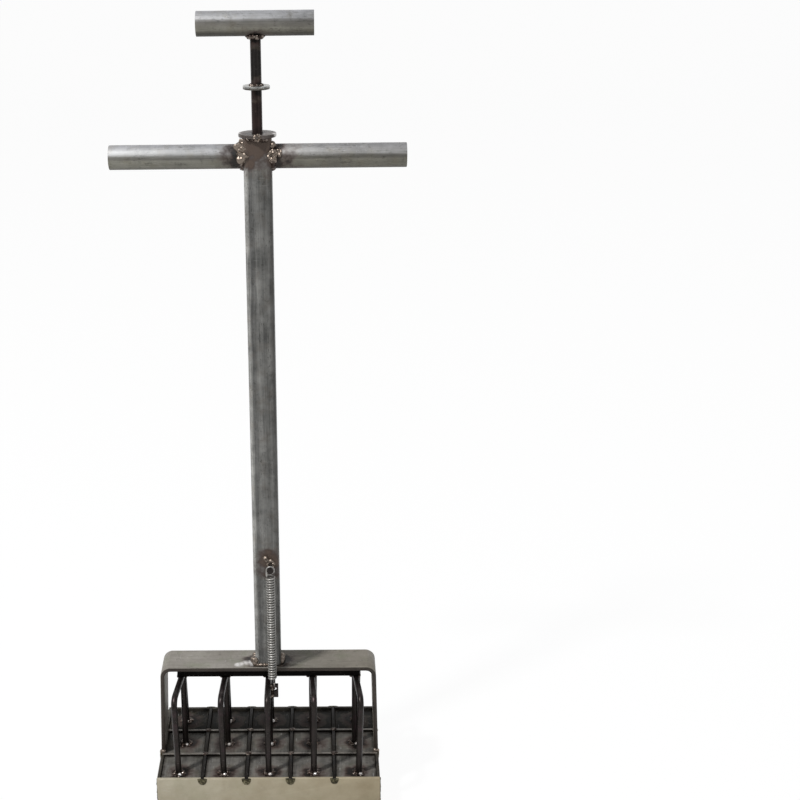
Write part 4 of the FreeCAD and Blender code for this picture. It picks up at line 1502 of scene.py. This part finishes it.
@dataclass
class PushRod:
    """The rod inside the post, its stop washer, and the grip across its top."""

    diameter: float = 9.5
    bottom: float = 126.2
    grip_height: float = GRIP_HEIGHT
    grip_diameter: float = PIPE_DIAMETER
    grip_wall: float = PIPE_WALL
    grip_length: float = 103.0
    stop_diameter: float = 24.0
    stop_bottom: float = STOP_BOTTOM
    stop_thickness: float = STOP_THICKNESS

    def build(self) -> None:
        """Make the rod, the washer, the grip and their beads."""
        form = bmesh.new()
        straight_rod(form, Round(self.diameter, 40), Vector((0, 0, self.bottom)), Z_AXIS,
                     self.grip_height - self.grip_diameter / 2 + 0.6 - self.bottom)
        soften(form, 0.3)
        settle("push_rod_bar", form, ROD_STEEL, Body.EJECTOR, ("push_rod",))
        half = Vector((self.grip_length / 2, 0, 0))
        middle = Vector((0, 0, self.grip_height))
        form = tube_form(self.grip_diameter, self.grip_diameter - 2 * self.grip_wall,
                         middle - half, (middle + half) - (middle - half))
        settle("grip_tube", form, GRIP_STEEL, Body.EJECTOR, ("grip_pipe",))
        form = tube_form(self.stop_diameter, self.diameter + 0.2,
                         Vector((0, 0, self.stop_bottom)), Z_AXIS * self.stop_thickness, 64)
        settle("stop_washer_plate", form, ZINC, Body.EJECTOR, ("stop_washer",))
        weld = Weld(size=1.9, seed=51, fineness=3)
        under = middle - Z_AXIS * (self.grip_diameter / 2 + 0.6)
        weld.ring(under, Z_AXIS, self.diameter / 2 + 0.9, 14)
        weld.ring(under + Z_AXIS * 1.0, Z_AXIS, self.diameter / 2 + 2.2, 14,
                  Vector((1.0, 0.9, 0.8)))
        above = Vector((0, 0, self.stop_bottom + self.stop_thickness + 0.4))
        weld.ring(above, Z_AXIS, self.diameter / 2 + 0.5, 14, Vector((0.7, 0.7, 0.65)))
        settle("rod_weld_beads", weld.form, DULL_WELD, Body.EJECTOR, ("rod_welds",))


@dataclass
class Ejector:
    """The crossbar, the rods bent down from it and the push plates at their feet."""

    pitch: float = 43.0
    rod: float = 6.0
    bend_radius: float = 9.0
    axis_height: float = 123.1
    plate_top: float = 42.0
    front_reach: float = 53.0
    back_reach: float = 43.0
    elbow_spread: float = 1.055
    foot_spread: float = 1.03
    bar_width: float = 26.0

    def build(self) -> None:
        """Make the crossbar, the legs, the plates, the lug and their welds."""
        softened_solid("crossbar", SHADED_BAR_STEEL, Body.EJECTOR, 0.6)
        softened_solid("spring_lug", LEG_STEEL, Body.EJECTOR, 0.4)
        for number, x in enumerate(self.columns(), 1):
            self.staple(number, x)
            self.middle_leg(number, x)
        for row, foot_y in (("front", -self.front_reach), ("middle", 0.0),
                            ("back", self.back_reach)):
            finish = plate_finish(row, foot_y, self.pitch, PLATE_SHADE_LEVELS[row])
            for number in range(1, 6):
                softened_solid(f"plate_{row}_{number}", finish, Body.EJECTOR, 0.4)
        self.foot_beads()
        self.bar_beads()
        self.lug_lumps()

    def columns(self) -> list[float]:
        """Middles of the five columns."""
        return [self.pitch * step for step in (-2, -1, 0, 1, 2)]

    def staple(self, number: int, x: float) -> None:
        """One rod bent to a front leg and a back leg.

        Args:
            number: which column it stands in.
            x: middle of the column.
        """
        elbow_x = x * self.elbow_spread
        foot_x = x * self.foot_spread
        points = [Vector((foot_x, -self.front_reach, self.plate_top)),
                  Vector((elbow_x, -self.front_reach, self.axis_height)),
                  Vector((x, 0, self.axis_height)),
                  Vector((elbow_x, self.back_reach, self.axis_height)),
                  Vector((foot_x, self.back_reach, self.plate_top))]
        form = bmesh.new()
        bar = Bender(form, Round(self.rod, 24), points[0], points[1] - points[0])
        bar.follow(points, self.bend_radius, 12)
        bar.close()
        settle(f"staple_{number}_rod", form, LEG_STEEL, Body.EJECTOR, (f"staple_{number}",))

    def middle_leg(self, number: int, x: float) -> None:
        """One straight leg to a middle plate.

        Args:
            number: which column it stands in.
            x: middle of the column.
        """
        form = bmesh.new()
        straight_rod(form, Round(self.rod, 24), Vector((x, 0, self.plate_top)), Z_AXIS,
                     self.axis_height - self.rod / 2 - self.plate_top)
        settle(f"middle_leg_{number}_rod", form, LEG_STEEL, Body.EJECTOR,
               (f"middle_leg_{number}",))

    def foot_beads(self) -> None:
        """Beads round every foot, with a near-white lump at each front as a painted highlight."""
        weld = Weld(size=1.7, seed=61)
        glints = Weld(size=1.7, seed=63, fineness=3)
        for x in self.columns():
            for foot_x, foot_y in ((x * self.foot_spread, -self.front_reach), (x, 0.0),
                                   (x * self.foot_spread, self.back_reach)):
                foot = Vector((foot_x, foot_y, self.plate_top + 0.7))
                weld.ring(foot, Z_AXIS, self.rod / 2 + 1.0, 9, Vector((1.1, 1.1, 0.9)))
                weld.ring(foot - Z_AXIS * 0.3, Z_AXIS, self.rod / 2 + 2.4, 9,
                          Vector((1.0, 1.0, 0.5)))
                glints.lump(foot + Vector((1.4, -4.3, 0.5)), Vector((1.2, 1.1, 1.15)))
        settle("plate_weld_beads", weld.form, DULL_WELD, Body.EJECTOR, ("plate_welds",))
        settle("plate_weld_glints", glints.form, GLINT_WELD, Body.EJECTOR)

    def bar_beads(self) -> None:
        """Beads along both sides of each rod, under the crossbar."""
        weld = Weld(size=1.6, seed=62)
        for x in self.columns():
            for side in (-1, 1):
                reach = self.bar_width / 2 - 2
                start = Vector((x + side * (self.rod / 2 + 0.8), -reach, self.axis_height + 1.8))
                weld.row(start, start + Y_AXIS * (2 * reach), 12, Vector((1.1, 1.1, 0.95)))
        settle("staple_weld_beads", weld.form, DULL_WELD, Body.EJECTOR, ("staple_welds",))

    def lug_lumps(self) -> None:
        """Burnt lumps that hold the spring's lug on the middle rod."""
        weld = Weld(size=2.2, seed=64, unevenness=0.1, lumpiness=0.4, fineness=3)
        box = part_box("spring_lug")
        left, front, low = (value / MM for value in box[0])
        top = box[1][2] / MM
        for share, swell in ((0.2, 1.1), (0.5, 1.35), (0.8, 1.2)):
            weld.lump(Vector((left + 4.6, front - 0.4, low + (top - low) * share)),
                      Vector((0.85, 1.0, 1.2)) * swell)
        settle("lug_weld_lumps", weld.form, DULL_WELD, Body.EJECTOR)


@dataclass
class ReturnSpring:
    """The extension spring, and the stud and weld that hold its upper ring."""

    wire: float = 1.8
    radius: float = 3.5
    axis_x: float = 4.5
    axis_y: float = -24.0
    bottom: float = 130.2
    top: float = 241.575
    turns: float = 41.25
    hook_bend: float = 2.0
    hook_neck: float = 5.0
    hook_sweep: float = math.radians(250.0)
    post_face: float = -POST_WIDTH / 2
    stud_height: float = 249.1
    stud_diameter: float = 4.0
    head_diameter: float = 6.6
    head_thickness: float = 1.6

    def build(self) -> None:
        """Wind the spring and make its anchor."""
        form = bmesh.new()
        climb = self.top - self.bottom
        slope = climb / (2 * math.pi * self.turns * self.radius)
        start = Vector((self.axis_x, self.axis_y + self.radius, self.bottom))
        section = Round(self.wire, 10)
        wire = Bender(form, section, start, Vector((-1, 0, slope)), Z_AXIS)
        joints = list(wire.front)
        wire.turn(Z_AXIS, 2 * math.pi * self.turns, self.radius, round(self.turns * 20), climb)
        self.hook(wire, Z_AXIS, Vector((0, -1, 0)), X_AXIS)
        tail = Bender(form, section, start, Vector((1, 0, -slope)), Z_AXIS)
        joints += tail.front
        self.hook(tail, -Z_AXIS, X_AXIS, -Y_AXIS)
        inside = {face for edge in joints for face in edge.link_faces if len(face.verts) > 4}
        bmesh.ops.delete(form, geom=list(inside), context="FACES_ONLY")
        bmesh.ops.remove_doubles(form, verts=form.verts, dist=0.01)
        piece = settle("return_spring_wire", form, SPRING_STEEL, None, ("return_spring",))
        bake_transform(piece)
        self.anchor()

    def hook(self, wire: Bender, away: Vector, sideways: Vector, inward: Vector) -> None:
        """Bend an end hook: out of the coil, a short neck and most of a ring.

        Args:
            wire: the bender at the coil's end.
            away: direction from the coils to the hook.
            sideways: level direction in which the wire leaves the coil; not used.
            inward: direction from the wire to the middle of its ring.
        """
        wire.turn_to(away, self.hook_bend, 6)
        wire.straight(self.hook_neck)
        wire.turn(away.cross(inward), self.hook_sweep, self.radius, 22)
        wire.close()

    def anchor(self) -> None:
        """Headed stud on the post and the lump of weld beside it."""
        form = bmesh.new()
        root = Vector((self.axis_x, self.post_face + 0.3, self.stud_height))
        head = self.axis_y - self.hook_bend - self.wire / 2 - 0.3
        straight_rod(form, Round(self.stud_diameter, 28), root, -Y_AXIS, root.y - head)
        straight_rod(form, Round(self.head_diameter, 32),
                     Vector((self.axis_x, head, self.stud_height)), -Y_AXIS, self.head_thickness)
        soften(form, FILED_EDGE)
        settle("anchor_stud_pin", form, LEG_STEEL, Body.MOULD, ("anchor_stud",))
        weld = Weld(size=2.3, seed=71, fineness=3)
        middle = Vector((self.axis_x, self.post_face - 0.6, self.stud_height))
        weld.ring(middle, Y_AXIS, self.stud_diameter / 2 + 0.7, 8, Vector((0.9, 0.8, 0.9)))
        weld.lump(middle + Vector((-3.4, -0.4, 4.0)), Vector((1.0, 0.9, 1.0)))
        weld.lump(middle + Vector((-4.9, -0.9, 6.8)), Vector((1.2, 1.2, 1.2)), 4)
        settle("anchor_weld_lump", weld.form, WELD, Body.MOULD, ("anchor_weld",))


@dataclass
class Studio:
    """Pale floor and backdrop, soft lamps and the camera."""

    camera_place: Point = (54.0, -1329.0, 892.0)
    yaw: float = math.radians(-0.8)
    pitch: float = math.radians(18.0)
    roll: float = math.radians(0.75)
    focal_share: float = 1500.0 / 800.0
    sensor: float = 36.0
    shift: tuple[float, float] = (0.125, -0.06)
    floor_reach: float = 12000.0
    floor_back: float = 4500.0
    sweep_radius: float = 1500.0
    backdrop: float = 4000.0

    def build(self) -> None:
        """Make the stage, the lamps and the camera."""
        self.floor()
        self.lamp("key", (-1.3, -1.13, 2.76), 0.24, 86.0)
        self.lamp("overhead", (0.1, -0.3, 3.0), 2.2, 9.0)
        self.lamp("fill", (1.8, -1.6, 1.0), 1.6, 5.0)
        world = bpy.data.worlds.new("studio")
        bpy.context.scene.world = world
        world.use_nodes = True
        sky = world.node_tree.nodes["Background"]
        sky.inputs[0].default_value = (0.93, 0.96, 1.0, 1.0)
        sky.inputs[1].default_value = 0.4
        self.camera()
        bpy.context.scene.view_settings.view_transform = "Standard"

    def floor(self) -> None:
        """Floor that curves up into a backdrop, as one sheet of paper."""
        form = bmesh.new()
        paper = Bender(form, Line(2 * self.floor_reach), -Y_AXIS * self.floor_reach, Y_AXIS)
        paper.straight(self.floor_reach + self.floor_back)
        paper.turn(X_AXIS, math.radians(90), self.sweep_radius, 16)
        paper.straight(self.backdrop)
        settle("paper_sweep", form, PALE, None)

    @staticmethod
    def lamp(name: str, place: Point, size: float, watts: float) -> None:
        """One square softbox, turned to the middle of the object.

        Args:
            name: name of the lamp.
            place: where it hangs, in metres.
            size: length of its side, in metres.
            watts: its power.
        """
        light = bpy.data.lights.new(name, "AREA")
        light.shape = "SQUARE"
        light.size = size
        light.energy = watts
        lamp = bpy.data.objects.new(name, light)
        lamp.location = place
        away = Vector(place) - LIT_POINT
        lamp.rotation_euler = away.to_track_quat("Z", "Y").to_euler()
        bpy.context.scene.collection.objects.link(lamp)

    def camera(self) -> None:
        """Camera at the viewing angle of the picture that the object is known from."""
        data = bpy.data.cameras.new("camera")
        data.sensor_width = self.sensor
        data.lens = self.focal_share * self.sensor
        data.shift_x, data.shift_y = self.shift
        data.clip_end = 60.0
        ahead = Vector((math.sin(self.yaw) * math.cos(self.pitch),
                        math.cos(self.yaw) * math.cos(self.pitch), -math.sin(self.pitch)))
        level = Vector((math.cos(self.yaw), -math.sin(self.yaw), 0.0))
        down = ahead.cross(level)
        right = level * math.cos(self.roll) + down * math.sin(self.roll)
        up = level * math.sin(self.roll) - down * math.cos(self.roll)
        turned = Matrix((right, up, -ahead)).transposed().to_4x4()
        camera = bpy.data.objects.new("camera", data)
        camera.matrix_world = Matrix.Translation(Vector(self.camera_place) * MM) @ turned
        bpy.context.scene.collection.objects.link(camera)
        bpy.context.scene.camera = camera


def corners(box: tuple[Vector, Vector]) -> list[list[float]]:
    """Both corners of a box as plain numbers."""
    return [[round(value, 5) for value in corner] for corner in box]


def main() -> None:
    """Load the solids, dress them and set the stage."""
    logging.basicConfig(level=logging.INFO, format="%(name)s %(message)s")
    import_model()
    for part in (Mould(), Hoop(), Post(), CrossHandles(), PushRod(), Ejector(), ReturnSpring(),
                 Studio()):
        log.info("%s", type(part).__name__)
        part.build()
    bpy.context.view_layer.update()


if __name__ == "__main__":
    main()
